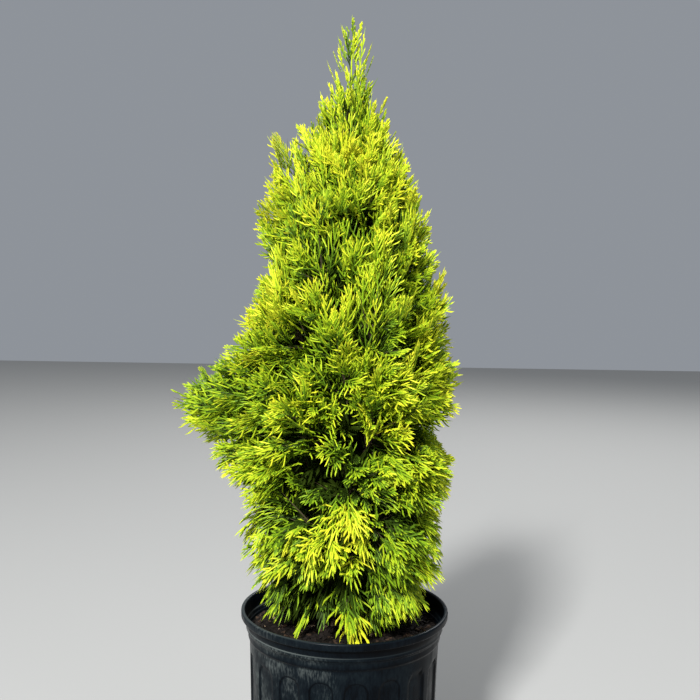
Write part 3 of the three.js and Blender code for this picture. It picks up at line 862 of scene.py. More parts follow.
def frondFingers(root, along, side, length, key, slim, wide=1.0, fine=True):
    # seven points for each finger: a three-sided root, a three-sided middle and a tip, bent with its frond;
    # the branches of a slim frond are shorter and keep closer to its axis
    pattern = frondPattern()
    fingers = np.arange(len(pattern))
    finest = pattern[:, 4]
    scale = length[:, None]
    pair = key[:, None]
    angle = pattern[:, 2] * (1 - frond["narrowed"] * slim[:, None])
    angle = angle + frond["angleJitter"] * jitter(pair, fingers, draw["fingerAngle"])
    tipAngle = angle * (1 - frond["closing"])
    shorter = 1 - frond["slimmed"] * slim[:, None] * (fingers > 0)
    uneven = varied(frond["lengthJitter"], pair, fingers, draw["fingerLength"])
    reach = pattern[:, 3] * scale * shorter * uneven
    startU = pattern[:, 0] * scale
    startV = pattern[:, 1] * scale * shorter
    middle = frond["fullAt"] * reach
    middleU = startU + middle * np.cos(angle)
    middleV = startV + middle * np.sin(angle)
    tipU = middleU + (reach - middle) * np.cos(tipAngle)
    tipV = middleV + (reach - middle) * np.sin(tipAngle)
    width = wide * mix(frond["widthLow"], frond["widthHigh"], riseShare(root[:, 2])[:, None])
    width = width * (1 - frond["finestNarrower"] * finest) / 2
    rootWidth = frond["rootWidth"] * width
    acrossU = -np.sin(angle)
    acrossV = np.cos(angle)
    height = frond["thickness"]
    corners = [
        (startU - rootWidth * acrossU, startV - rootWidth * acrossV, 0),
        (startU + rootWidth * acrossU, startV + rootWidth * acrossV, 0),
        (startU, startV, frond["rootThickness"] * height),
        (middleU - width * acrossU, middleV - width * acrossV, 0),
        (middleU + width * acrossU, middleV + width * acrossV, 0),
        (middleU, middleV, height),
        (tipU, tipV, frond["tipThickness"] * height),
    ]
    face = np.cross(along, side)
    droop = frondDroop(root)[:, None]
    points = []
    for forward, sideways, lift in corners:
        drop = droop * forward * forward / scale
        bow = lift - frond["curl"] * sideways * sideways / scale
        points.append(
            root[:, None]
            + along[:, None] * forward[..., None]
            + side[:, None] * sideways[..., None]
            + face[:, None] * bow[..., None]
            - upwards * drop[..., None]
        )
    full = (scale > frond["smallBelow"]) & (slim[:, None] < frond["slimFrom"]) & fine
    return np.stack(points, axis=2), (finest == 0) | full


# A finger is cut where it is widest: its root part and its tip part are closed shapes of their own
fingerSides = [[0, 4, 3], [0, 1, 4], [1, 5, 4], [1, 2, 5], [2, 3, 5], [2, 0, 3], [0, 2, 1]]
fingerParts = {
    "fingers": {"corners": slice(0, 7), "faces": fingerSides + [[3, 4, 6], [4, 5, 6], [5, 3, 6]]},
    "roots": {"corners": slice(0, 6), "faces": fingerSides + [[3, 4, 5]]},
    "tips": {"corners": slice(3, 7), "faces": [[0, 1, 3], [1, 2, 3], [2, 0, 3], [0, 2, 1]]},
}


def fingerMesh(fingers, part="fingers"):
    # the same triangles for that part of every finger
    points = fingers[:, fingerParts[part]["corners"]]
    starts = np.arange(len(points)) * points.shape[1]
    faces = (starts[:, None, None] + np.array(fingerParts[part]["faces"])[None]).reshape(-1, 3)
    return points.reshape(-1, 3), faces


def threads(paths, radii, sides):
    # many thin tapering twigs at once: a ring round each path point but the last, which is the tip
    along = unit(np.diff(paths, axis=1))
    side = unit(np.cross(along, upwards) + [tinyStep, 0, 0])
    rise = np.cross(side, along)
    count, steps = along.shape[:2]
    turn = fullTurn(sides)
    ring = (
        paths[:, :-1, None]
        + side[:, :, None] * (np.cos(turn)[None, None] * radii[..., None])[..., None]
        - rise[:, :, None] * (np.sin(turn)[None, None] * radii[..., None])[..., None]
    )
    points = np.concatenate([ring.reshape(count, -1, 3), paths[:, -1:]], axis=1)
    quads = triangles(wrapFaces(steps, sides))
    here = np.arange(sides)
    top = (steps - 1) * sides
    tip = np.stack([top + here, top + (here + 1) % sides, np.full(sides, steps * sides)], axis=-1)
    cap = np.stack([np.zeros(sides - 2, int), here[2:], here[1:-1]], axis=-1)
    faces = np.concatenate([quads, tip, cap])
    starts = np.arange(count)[:, None, None] * (steps * sides + 1)
    return points.reshape(-1, 3), (starts + faces[None]).reshape(-1, 3)


def principled(name, color, roughness, specular=0.5):
    # a plain shader with its colour, roughness and strength of reflection on its own sockets
    material = bpy.data.materials.new(name)
    material.use_nodes = True
    shader = material.node_tree.nodes["Principled BSDF"]
    shader.inputs["Base Color"].default_value = (*color, 1)
    shader.inputs["Roughness"].default_value = roughness
    shader.inputs["Specular IOR Level"].default_value = specular
    return material


# Foliage colours from the sunlit tips to the shaded inside, partly the foliage's own gold and green and
# partly painted light and painted shade, and the tone above which each is taken
tints = named(
    "name color above",
    ("gold", (0.56, 0.56, 0.024), 0.78),
    ("lemon", (0.45, 0.51, 0.018), 0.59),
    ("lime", (0.31, 0.41, 0.012), 0.40),
    ("leaf", (0.17, 0.28, 0.008), 0.22),
    ("green", (0.075, 0.145, 0.006), 0.05),
    ("deep", (0.020, 0.040, 0.002), -math.inf),
)
toneRule = {
    "outer": 1.5,
    "rise": 0.1,
    "young": 0.3,
    "top": 0.28,
    "topOuter": 0.8,
    "topEven": 0.6,
    "chance": 0.18,
    "mass": 0.08,
    "offset": -0.85,
    "forward": 0.35,
    "rootsDarker": 0.26,
}
# where the sprays are more golden, or greener where the number is negative: partly their own tint and
# partly painted light and painted shade
patches = named(
    placeNames,
    (420, 268, 0.40, 32, 30),
    (370, 250, 0.2, 24, 26),
    (740, 274, 0.16, 80, 14),
    (560, 297, 0.2, 28, 16),
    (430, 305, -0.24, 50, 20),
    (740, 225, 0.14, 60, 26),
    (305, 235, -0.2, 26, 60),
    (276, 272, 0.55, 24, 17),
    (590, 185, -0.18, 50, 30),
)


def frondTone(root, along, length, key):
    # lighter towards the crown's limit, partly as painted light on the outside and painted shade within,
    # and towards its top, with some chance from mass to mass and frond to frond
    tip = root + along * length[:, None]
    azimuth = azimuthOf(tip)
    outer = np.hypot(tip[:, 0], tip[:, 1]) / np.maximum(crownReach(tip[:, 2], azimuth), 1)
    outer = mix(outer, toneRule["topOuter"], toneRule["topEven"] * wiryShare(tip))
    tone = toneRule["outer"] * outer + toneRule["rise"] * riseShare(tip[:, 2]) + toneRule["offset"]
    for patch in patches:
        tone = tone + patch["by"] * bell(tip[:, 2], azimuth, patch)
    tone = tone + toneRule["young"] * youngShoots(root, key) + toneRule["top"] * wiryShare(tip)
    massKey = key // (growth["keysPerMass"] * growth["keysPerTwig"])
    tone = tone + toneRule["chance"] * jitter(key, draw["tone"])
    return tone + toneRule["mass"] * jitter(massKey, draw["massTone"])


def growTwigsAndFronds():
    # every mass's fronds, its inner fronds, and the paths of its twigs below the thin top
    fronds = []
    innerFronds = []
    twigPaths = []
    for mass in masses:
        innerFronds.append(growInner(mass))
        twigs = [growTwigs(mass, stem) for stem in allStems(mass)]
        root, along, length, key = [np.concatenate(column) for column in zip(*twigs)]
        fronds.append(growFronds(mass, root, along, length, key))
        low = root[:, 2] < growth["sparseFrom"]
        start = (root - along)[low]
        end = (root + along * length[:, None])[low]
        twigPaths.append(np.stack([start, (start + end) / 2, end], axis=1))
    fronds = [np.concatenate(column) for column in zip(*fronds)]
    innerFronds = [np.concatenate(column) for column in zip(*innerFronds)]
    print(f"grew {len(fronds[0])} fronds and {len(innerFronds[0])} inner fronds")
    return fronds, innerFronds, np.concatenate(twigPaths)


def makeInnerSprays(innerFronds):
    # the inner sprays in two colours: painted shade, and a lit amber as painted light in the thin crown
    # high up where light comes through
    fingers, kept = frondFingers(*innerFronds, wide=inner["width"], fine=False)
    high = (innerFronds[0][:, 2] > inner["amberFrom"])[:, None]
    pieces = []
    for name, chosen in (("shaded", kept & ~high), ("lit_amber", kept & high)):
        material = principled(f"{name} scale leaves", inner[name], roughness=0.8, specular=0.03)
        pieces.append(makePiece(f"{name}_sprays", *fingerMesh(fingers[chosen]), material, "foliage"))
    return pieces


def makeSprays(fronds):
    # every finger dealt to a tint by its tone; the wider ones are cut in two, and their roots are darker
    root, along, side, length, key, slim = fronds
    pattern = frondPattern()
    forward = toneRule["forward"] * (pattern[:, 0] - frond["lastAt"] / 2)
    tone = frondTone(root, along, length, key)[:, None] + forward
    fingers, kept = frondFingers(*fronds)
    print(f"{int(kept.sum())} fingers on the fronds")
    finest = (pattern[:, 4] == 1)[None]
    dealt = {
        "fingers": (kept & finest, tone),
        "tips": (kept & ~finest, tone),
        "roots": (kept & ~finest, tone - toneRule["rootsDarker"]),
    }
    below = np.inf
    for tint in tints:
        material = principled(f"{tint['name']} scale leaves", tint["color"], roughness=0.6, specular=0.12)
        for part, (chosen, partTone) in dealt.items():
            mine = fingers[chosen & (partTone > tint["above"]) & (partTone <= below)]
            most = growth["mostTriangles"] // len(fingerParts[part]["faces"])
            for number, first in enumerate(range(0, len(mine), most)):
                shape = fingerMesh(mine[first:first + most], part)
                makePiece(f"{tint['name']}_{part}_{number + 1}", *shape, material, "foliage")
        below = tint["above"]


def makeTwigs(paths):
    # all twigs as one piece of thin three-sided threads
    radii = np.tile(growth["twigRadii"], (len(paths), 1))
    material = principled("twig bark", growth["twigColor"], roughness=0.8)
    return makePiece("twigs", *threads(paths, radii, 3), material, "foliage")


fronds, innerFronds, twigPaths = growTwigsAndFronds()
innerSprays = makeInnerSprays(innerFronds)
makeSprays(fronds)
makeTwigs(twigPaths)
for mass in masses:
    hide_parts(mass["node"])

# The bark of the trunk, the boughs and the masses' own stems
bark = {
    "trunkColumns": 72,
    "trunkRows": 240,
    "boughColumns": 24,
    "boughRows": 26,
    "stemColumns": 8,
    "stemRows": 12,
    "boughRoot": 5.4,
    "boughTip": 3.1,
    "stemRoot": 2.9,
    "stemTopRoot": 1.7,
    "stemTip": 1.2,
    "leaderBarkShare": 0.5,
    "fibreCell": 2.6,
    "fibreDepth": 0.75,
    "plateCell": 9,
    "plateDepth": 0.8,
    "stretch": 0.12,
    "rootLobes": 5,
    "lobeDepth": 0.12,
    "collar": 0.5,
    "collarLength": 9,
    "buried": 0.7,
    "boughRelief": 0.45,
    "stemRelief": 0.2,
    "leastRelief": 0.1,
    "greenRoot": 1.32,
    "greenTip": 0.84,
    "leaderOverlap": 0.02,
    "color": (0.12, 0.06, 0.03),
    "scale": 260,
    "stops": [(0.3, (0.020, 0.012, 0.006)), (0.5, (0.048, 0.029, 0.014)), (0.7, (0.10, 0.066, 0.037))],
}


def barkTube(path, radii, columns, reference, relief):
    # rings square to the path; the radius rises and falls with noise drawn out along the limb
    along = unit(np.gradient(path, axis=0))
    side = unit(np.cross(reference, along))
    rise = np.cross(along, side)
    turn = fullTurn(columns)
    spoke = side[:, None] * np.cos(turn)[None, :, None] + rise[:, None] * np.sin(turn)[None, :, None]
    run = np.concatenate([[0], np.cumsum(np.linalg.norm(np.diff(path, axis=0), axis=1))])
    flat = np.stack(
        [
            radii[..., 0:1] * np.cos(turn),
            radii[..., 0:1] * np.sin(turn),
            np.repeat(run[:, None], columns, axis=1) * bark["stretch"],
        ],
        axis=-1,
    )
    fibres = bark["fibreDepth"] * cloudNoise(flat, bark["fibreCell"], draw["fibres"])
    plates = bark["plateDepth"] * cloudNoise(flat, bark["plateCell"], draw["plates"])
    radius = radii * np.ones((len(path), columns)) + relief * (fibres + plates)
    return closedTube(path[:, None] + spoke * radius[..., None])


def buildTrunk(material):
    # the trunk's taper and flare, with the root lobes dying away above the soil
    height = np.linspace(trunk["foot"], trunk["tip"], bark["trunkRows"])
    turn = fullTurn(bark["trunkColumns"])
    fade = np.exp(-(height - trunk["foot"]) / (2 * trunk["flareHeight"]))[:, None]
    lobes = 1 + bark["lobeDepth"] * np.cos(bark["rootLobes"] * turn) * fade
    radii = trunkRadius(height)[:, None] * lobes
    relief = np.clip(trunkRadius(height) / trunk["footRadius"], bark["leastRelief"], 1)[:, None]
    shape = barkTube(trunkAxis(height), radii, bark["trunkColumns"], rightwards, relief)
    piece = makePiece("trunk_bark", *shape, material, "bark", smooth=True)
    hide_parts("trunk")


def buildBoughs(material):
    # each bough starts inside the trunk, swells where it leaves it, and ends where its mass begins
    shapes = []
    for mass in masses:
        if not mass["bough"]:
            continue
        share = np.linspace(0, mass["wood"], bark["boughRows"])
        path = curvePoint(mass["curve"], share)
        out = np.linalg.norm(path - path[0], axis=1) - trunk["footRadius"] * bark["buried"]
        collar = 1 + bark["collar"] * np.exp(-np.maximum(out, 0) / bark["collarLength"])
        radii = mix(bark["boughRoot"], bark["boughTip"], share / mass["wood"]) * collar
        shapes.append(barkTube(path, radii[:, None], bark["boughColumns"], upwards, bark["boughRelief"]))
    piece = makePiece("bough_bark", *joinShapes(shapes), material, "bark", smooth=True)
    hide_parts(*[mass["bough"] for mass in masses if mass["bough"]])


def stemTube(path, first, last, reference, relief):
    # a thin stem whose radius tapers evenly from its first to its last
    radii = np.linspace(first, last, bark["stemRows"])[:, None]
    return barkTube(path, radii, bark["stemColumns"], reference, relief)


def buildStems(material):
    # the masses' own stems, from the trunk or the bough's tip; the leader's upper part is still green
    shapes = []
    for mass in masses:
        end = bark["leaderBarkShare"] if mass["leader"] else mass["end"]
        path = stemPoint(mass, np.linspace(mass["wood"], end, bark["stemRows"]))
        rise = riseShare(mass["curve"][0][2])
        first = bark["boughTip"] if mass["bough"] else mix(bark["stemRoot"], bark["stemTopRoot"], rise)
        reference = rightwards if mass["leader"] else upwards
        shapes.append(stemTube(path, first, bark["stemTip"], reference, bark["stemRelief"]))
        for stem in allStems(mass)[1:]:
            path = curvePoint(stem["curve"], np.linspace(0, 1, bark["stemRows"]))
            shapes.append(stemTube(path, bark["stemTopRoot"], bark["stemTip"], upwards, bark["stemRelief"]))
    makePiece("stem_bark", *joinShapes(shapes), material, "bark", smooth=True)
    share = np.linspace(bark["leaderBarkShare"] - bark["leaderOverlap"], 1, bark["stemRows"])
    path = curvePoint(masses[-1]["curve"], share)
    shape = stemTube(path, bark["greenRoot"], bark["greenTip"], rightwards, bark["leastRelief"])
    makePiece("green_leader", *shape, bpy.data.materials["lime scale leaves"], "foliage", smooth=True)


def fillRamp(ramp, stops):
    # the ramp's two own stops become the first and the last, and the rest go between them
    elements = ramp.color_ramp.elements
    elements[0].position = stops[0][0]
    elements[0].color = (*stops[0][1], 1)
    elements[1].position = stops[-1][0]
    elements[1].color = (*stops[-1][1], 1)
    for position, color in stops[1:-1]:
        elements.new(position).color = (*color, 1)


def addNode(material, kind, inputs):
    # a new node in a material; its sockets get plain values or lines from other nodes
    node = material.node_tree.nodes.new(kind)
    for socket, value in inputs.items():
        if isinstance(value, bpy.types.NodeSocket):
            material.node_tree.links.new(value, node.inputs[socket])
        else:
            node.inputs[socket].default_value = value
    return node


def rampOf(material, value, stops):
    # a value read through a colour ramp; a stop's colour may be one grey level
    ramp = addNode(material, "ShaderNodeValToRGB", {"Fac": value})
    fillRamp(ramp, [(at, color if isinstance(color, tuple) else (color,) * 3) for at, color in stops])
    return ramp.outputs["Color"]


def noiseRamp(material, scale, stretch, stops, detail=4.0):
    # noise on Object coordinates, stretched, read through a colour ramp
    place = addNode(material, "ShaderNodeTexCoord", {}).outputs["Object"]
    mapping = addNode(material, "ShaderNodeMapping", {"Vector": place, "Scale": stretch})
    inputs = {"Vector": mapping.outputs["Vector"], "Scale": scale, "Detail": detail}
    noise = addNode(material, "ShaderNodeTexNoise", inputs)
    return rampOf(material, noise.outputs["Fac"], stops)


def intoShader(material, color, socket):
    # leads a colour or a level into one socket of the material's shader
    material.node_tree.links.new(color, material.node_tree.nodes["Principled BSDF"].inputs[socket])


def barkMaterial():
    # brown fibres, drawn out upwards
    material = principled("thuja bark", bark["color"], roughness=0.85)
    fibres = noiseRamp(material, bark["scale"], (1, 1, bark["stretch"]), bark["stops"])
    intoShader(material, fibres, "Base Color")
    return material


woodMaterial = barkMaterial()
buildTrunk(woodMaterial)
buildBoughs(woodMaterial)
buildStems(woodMaterial)
print("built the trunk, boughs and stems")

# The pot, in millimetres and degrees; its profile is [radius, height, rounding] round its section from
# the middle of the underside
pot = {
    "columns": 360,
    "wallStep": 5,
    "innerStep": 14,
    "height": 280,
    "profile": [
        [10, 0, 0],
        [129, 0, 1.4],
        [131, 2.5, 1.2],
        [137, 238, 1.5],
        [139.3, 241, 1.2],
        [139.3, 251, 1.2],
        [142.6, 253.6, 1.4],
        [142.6, 258, 1.4],
        [143.6, 262, 2.0],
        [144.2, 269.0, 1.6],
        [149.8, 269.8, 2.2],
        [149.8, 280, 3.4],
        [144.4, 280, 2.6],
        [143.2, 262, 4.0],
        [139.5, 248, 4.0],
        [131.5, 238, 2.0],
        [125.5, 6, 3.0],
        [10, 6, 0],
    ],
    "roundSteps": 4,
    "panels": 18,
    "firstPanel": -82.7,
    "panelWidth": 34,
    "panelFoot": 24,
    "panelTop": 222,
    "panelDepth": 2.6,
    "panelEdge": 2.4,
    "drains": 6,
    "drainRadius": 9,
    "drainPoints": 13,
    "drainFrom": 112,
    "drainTo": 140,
}


def roundedProfile(corners, steps):
    # each corner becomes a quadratic curve that starts and ends its rounding away from the corner
    corners = np.array(corners, float)
    points = [corners[0, :2]]
    share = np.linspace(0, 1, steps + 1)[:, None]
    for before, corner, after in zip(corners[:-2], corners[1:-1], corners[2:]):
        toBefore = before[:2] - corner[:2]
        toAfter = after[:2] - corner[:2]
        cut = min(corner[2], np.linalg.norm(toBefore) / 2, np.linalg.norm(toAfter) / 2)
        start = corner[:2] + toBefore / np.linalg.norm(toBefore) * cut
        end = corner[:2] + toAfter / np.linalg.norm(toAfter) * cut
        points.extend((1 - share) ** 2 * start + 2 * share * (1 - share) * corner[:2] + share**2 * end)
    points.append(corners[-1, :2])
    return np.array(points)


def withSteps(profile, longestOut, longestIn):
    # straight runs are divided so that no step is longer than allowed; the profile goes up outside
    points = [profile[:1]]
    for start, end in zip(profile[:-1], profile[1:]):
        run = np.linalg.norm(end - start)
        longest = longestOut if end[1] > start[1] else longestIn
        count = max(1, int(math.ceil(run / longest)))
        points.append(start + (end - start) * np.linspace(0, 1, count + 1)[1:, None])
    return np.concatenate(points)


def panelInset(turn, height, radius):
    # how deep the arched panels are pressed in: the distance inside the arch through an S curve
    pitch = 2 * np.pi / pot["panels"]
    fromMiddle = (turn - pot["firstPanel"] * degree + pitch / 2) % pitch - pitch / 2
    fromMiddle = np.abs(fromMiddle) * radius
    half = pot["panelWidth"] / 2
    springing = pot["panelTop"] - half
    straight = np.minimum(half - fromMiddle, height - pot["panelFoot"])
    arched = half - np.hypot(fromMiddle, height - springing)
    inside = np.where(height < springing, straight, arched)
    return pot["panelDepth"] * smoothStep(0, pot["panelEdge"], inside)


def buildPot(material):
    # the rounded profile turned about the axis, with the panels pressed into its outside
    profile = roundedProfile(pot["profile"], pot["roundSteps"])
    profile = withSteps(profile, pot["wallStep"], pot["innerStep"])
    turn = fullTurn(pot["columns"]) + pot["firstPanel"] * degree
    radius = profile[:, :1] * np.ones((1, pot["columns"]))
    height = profile[:, 1:] * np.ones((1, pot["columns"]))
    lipRow = int(np.argmax(profile[:, 1]))
    outside = (np.arange(len(profile)) < lipRow)[:, None] & (radius > pot["profile"][1][0])
    radius = radius - np.where(outside, panelInset(turn[None], height, radius), 0)
    rings = np.stack([radius * np.cos(turn), radius * np.sin(turn), height], axis=-1)
    piece = makePiece("pot_shell", *closedTube(rings), material, "pot_plastic", smooth=True)
    cutDrains(piece)
    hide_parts("pot")


def cutDrains(piece):
    # half-round mouths at the foot: an arch carried outwards through the wall, then taken away from it
    bow = np.linspace(0, np.pi, pot["drainPoints"])
    size = pot["drainRadius"]
    offset = np.concatenate([size * np.cos(bow), [-size, size]])
    height = np.concatenate([size * np.sin(bow), [-size, -size]])
    shapes = []
    for drain in range(pot["drains"]):
        turn = (pot["firstPanel"] + 360 * drain / pot["drains"]) * degree
        outward = np.array([math.cos(turn), math.sin(turn), 0])
        level = np.array([-math.sin(turn), math.cos(turn), 0])
        face = level * offset[:, None] + upwards * height[:, None]
        mouth = [face + outward * pot[end] for end in ("drainFrom", "drainTo")]
        shapes.append(closedTube(np.stack(mouth)))
    points, faces = joinShapes(shapes)
    mesh = bpy.data.meshes.new("drain cutter")
    mesh.from_pydata((points * metresPerMm).tolist(), [], faces.tolist())
    cutter = newObject("drain cutter", mesh)
    cut = piece.modifiers.new("drain mouths", "BOOLEAN")
    cut.operation = "DIFFERENCE"
    cut.solver = "EXACT"
    cut.object = cutter
    whole = piece.evaluated_get(bpy.context.evaluated_depsgraph_get())
    piece.data = bpy.data.meshes.new_from_object(whole)
    piece.modifiers.clear()
    bpy.data.objects.remove(cutter)
    print(f"pot_shell with drain mouths: {len(piece.data.polygons)} faces")


# Dust on the pot with painted light: its share by height in millimetres and from the left of the pot to the
# right, partly dust and partly painted light from the left; the bright rims, a painted highlight; the dark
# line round each panel, painted shade along the pressed edges; and the noises that break it up
dustAndPaintedLight = {
    "heights": [
        (0, 0.3), (150, 0.35), (236, 0.5), (241, 0.05), (246, 0.3), (251, 0.4), (255.5, 0.5), (257, 0.5),
        (258.5, 0.4), (260.5, 0.1), (267, 0.05), (270.5, 0.2), (278, 0.22), (280, 0.4),
    ],
    # the rims row is a painted highlight: a thin bright line along the band's upper edge and on the lip's
    # top
    "paintedGlints": [(0, 0), (256.6, 0), (257.8, 0.95), (259.0, 0), (278, 0), (280, 0.3)],
    "shadeLineRadius": 135.5,
    "shadeLineWidth": 2.2,
    "leftEnd": -120,
    "rightEnd": 50,
    "leftShare": 1.0,
    "rightShare": 0.25,
    "patches": {"scale": 26, "stretch": (1, 1, 0.8), "stops": [(0.38, 0.2), (0.62, 1.0)]},
    "streaks": {"scale": 420, "stretch": (1, 1, 0.3), "stops": [(0.38, 0.3), (0.64, 1.0)]},
    "gloss": {"scale": 60, "stretch": (1, 1, 0.5), "stops": [(0.35, 0.26), (0.75, 0.5)], "detail": 6.0},
    "colors": [
        (0.0, (0.0003, 0.0005, 0.001)),
        (0.03, (0.0016, 0.0032, 0.005)),
        (0.12, (0.0045, 0.0075, 0.0095)),
        (0.6, (0.085, 0.098, 0.094)),
    ],
}


def mathStep(material, operation, *values):
    # one step of arithmetic in a material, on numbers and on other steps' results
    step = addNode(material, "ShaderNodeMath", dict(enumerate(values)))
    step.operation = operation
    return step.outputs["Value"]


def panelShadeLine(material, x, y, z):
    # 0 along the pressed edge of each arch and 1 away from it, by the same distance inside the arch as the
    # shape's, with the angle folded about each panel's middle; it takes the dust away along the edge, and
    # the dark line left there is painted shade
    half = pot["panelWidth"] / 2 * metresPerMm
    angle = mathStep(material, "ARCTAN2", y, x)
    angle = mathStep(material, "SUBTRACT", angle, pot["firstPanel"] * degree)
    angle = mathStep(material, "PINGPONG", angle, math.pi / pot["panels"])
    fromMiddle = mathStep(material, "MULTIPLY", angle, dustAndPaintedLight["shadeLineRadius"] * metresPerMm)
    above = mathStep(material, "SUBTRACT", z, pot["panelTop"] * metresPerMm - half)
    above = mathStep(material, "MAXIMUM", above, 0)
    squares = [mathStep(material, "POWER", length, 2) for length in (fromMiddle, above)]
    fromCentre = mathStep(material, "SQRT", mathStep(material, "ADD", *squares))
    inside = mathStep(material, "SUBTRACT", half, fromCentre)
    fromFoot = mathStep(material, "SUBTRACT", z, pot["panelFoot"] * metresPerMm)
    inside = mathStep(material, "MINIMUM", inside, fromFoot)
    offEdge = mathStep(material, "SUBTRACT", inside, pot["panelEdge"] / 2 * metresPerMm)
    offEdge = mathStep(material, "ABSOLUTE", offEdge)
    share = mathStep(material, "DIVIDE", offEdge, dustAndPaintedLight["shadeLineWidth"] * metresPerMm)
    return mathStep(material, "MINIMUM", share, 1)


def dustAndLightBySide(material, x):
    # the share of dust and of painted light, falling from the pot's lit left to its right, through an S
    # curve
    inputs = {
        "Value": x,
        "From Min": dustAndPaintedLight["leftEnd"] * metresPerMm,
        "From Max": dustAndPaintedLight["rightEnd"] * metresPerMm,
        "To Min": dustAndPaintedLight["leftShare"],
        "To Max": dustAndPaintedLight["rightShare"],
    }
    share = addNode(material, "ShaderNodeMapRange", inputs)
    share.interpolation_type = "SMOOTHSTEP"
    return share.outputs["Result"]


def potMaterial():
    # black plastic under dust and painted light: the dust's share by height times two noises and the
    # panels' painted shade lines, or the painted highlight on the bright rims where it is more, times the
    # share by side, which is partly dust and partly painted light from the left
    material = principled("black pot plastic", dustAndPaintedLight["colors"][0][1], roughness=0.42, specular=0.06)
    place = addNode(material, "ShaderNodeTexCoord", {}).outputs["Object"]
    x, y, z = addNode(material, "ShaderNodeSeparateXYZ", {"Vector": place}).outputs
    high = mathStep(material, "DIVIDE", z, pot["height"] * metresPerMm)
    dustLevelWithPaintedLight, paintedGlints = [
        rampOf(material, high, [(height / pot["height"], level) for height, level in dustAndPaintedLight[name]])
        for name in ("heights", "paintedGlints")
    ]
    patches = noiseRamp(material, **dustAndPaintedLight["patches"])
    streaks = noiseRamp(material, **dustAndPaintedLight["streaks"])
    for factor in (patches, streaks, panelShadeLine(material, x, y, z)):
        dustLevelWithPaintedLight = mathStep(material, "MULTIPLY", dustLevelWithPaintedLight, factor)
    # the painted highlight on the rims is taken where it is brighter than the dust
    dustLevelWithPaintedLight = mathStep(material, "MAXIMUM", dustLevelWithPaintedLight, paintedGlints)
    # times the share by side, which is partly dust and partly painted light from the left
    dustLevelWithPaintedLight = mathStep(material, "MULTIPLY", dustLevelWithPaintedLight, dustAndLightBySide(material, x))
    intoShader(material, rampOf(material, dustLevelWithPaintedLight, dustAndPaintedLight["colors"]), "Base Color")
    intoShader(material, noiseRamp(material, **dustAndPaintedLight["gloss"]), "Roughness")
    return material


buildPot(potMaterial())
print("built the pot")

# The soil and its litter of bark chips
soil = {
    "columns": 200,
    "rings": 70,
    "floor": 6.3,
    "floorRadius": 124.9,
    "shoulderRadius": 130.9,
    "shoulder": 238,
    "edgeRadius": 138.7,
    "edge": 247.5,
    "top": 252,
    "edgeWidth": 18,
    "lump": 2.2,
    "lumpCell": 16,
    "grain": 1.0,
    "grainCell": 4,
    "centre": 2,
    "floorCentre": 10,
    "color": (0.03, 0.018, 0.01),
    "scale": 420,
    "stops": [
        (0.35, (0.0025, 0.002, 0.0015)),
        (0.55, (0.006, 0.0045, 0.003)),
        (0.75, (0.020, 0.013, 0.009)),
    ],
}
# kinds of chips: how many, their colour, the length of the longest, and the seed of their draws
chips = named(
    "name count color long seed",
    ("dark_chips", 1100, (0.009, 0.006, 0.0045), 11, 31),
    ("brown_chips", 220, (0.036, 0.021, 0.012), 12, 32),
    ("pale_chips", 60, (0.22, 0.16, 0.10), 8, 33),
)
# least and most length and width, as shares of the kind's own length, and thickness in millimetres; the
# tilt is in radians
chipShape = {
    "long": (0.25, 1.0),
    "wide": (0.12, 0.42),
    "thick": (1, 2.6),
    "fromWall": 6,
    "uneven": 0.35,
    "tilt": 0.6,
    "raised": 0.2,
}


def soilHeight(x, y):
    # flat in the middle, lower at the wall, with lumps and grains of noise
    radius = np.hypot(x, y)
    base = mix(soil["edge"], soil["top"], smoothStep(0, soil["edgeWidth"], soil["edgeRadius"] - radius))
    flat = np.stack([x, y, 0 * x], axis=-1)
    lumps = soil["lump"] * cloudNoise(flat, soil["lumpCell"], draw["lumps"])
    return base + lumps + soil["grain"] * cloudNoise(flat, soil["grainCell"], draw["grains"])


def buildSoil():
    # a turned body whose top is a grid of rings lifted to the soil's height
    turn = fullTurn(soil["columns"])
    lower = np.array(
        [
            [soil["floorCentre"], soil["floor"]],
            [soil["floorRadius"], soil["floor"]],
            [soil["shoulderRadius"], soil["shoulder"]],
        ]
    )
    upper = np.linspace(soil["edgeRadius"], soil["centre"], soil["rings"])
    radius = np.concatenate([lower[:, 0], upper])[:, None] * np.ones((1, soil["columns"]))
    x = radius * np.cos(turn)
    y = radius * np.sin(turn)
    height = soilHeight(x, y)
    height[:len(lower)] = lower[:, 1:]
    shape = closedTube(np.stack([x, y, height], axis=-1))
    material = principled("potting soil", soil["color"], roughness=0.95, specular=0.12)
    grains = noiseRamp(material, soil["scale"], (1, 1, 1), soil["stops"], detail=6.0)
    intoShader(material, grains, "Base Color")
    piece = makePiece("soil_body", *shape, material, "soil", smooth=True)
    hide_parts("soil")


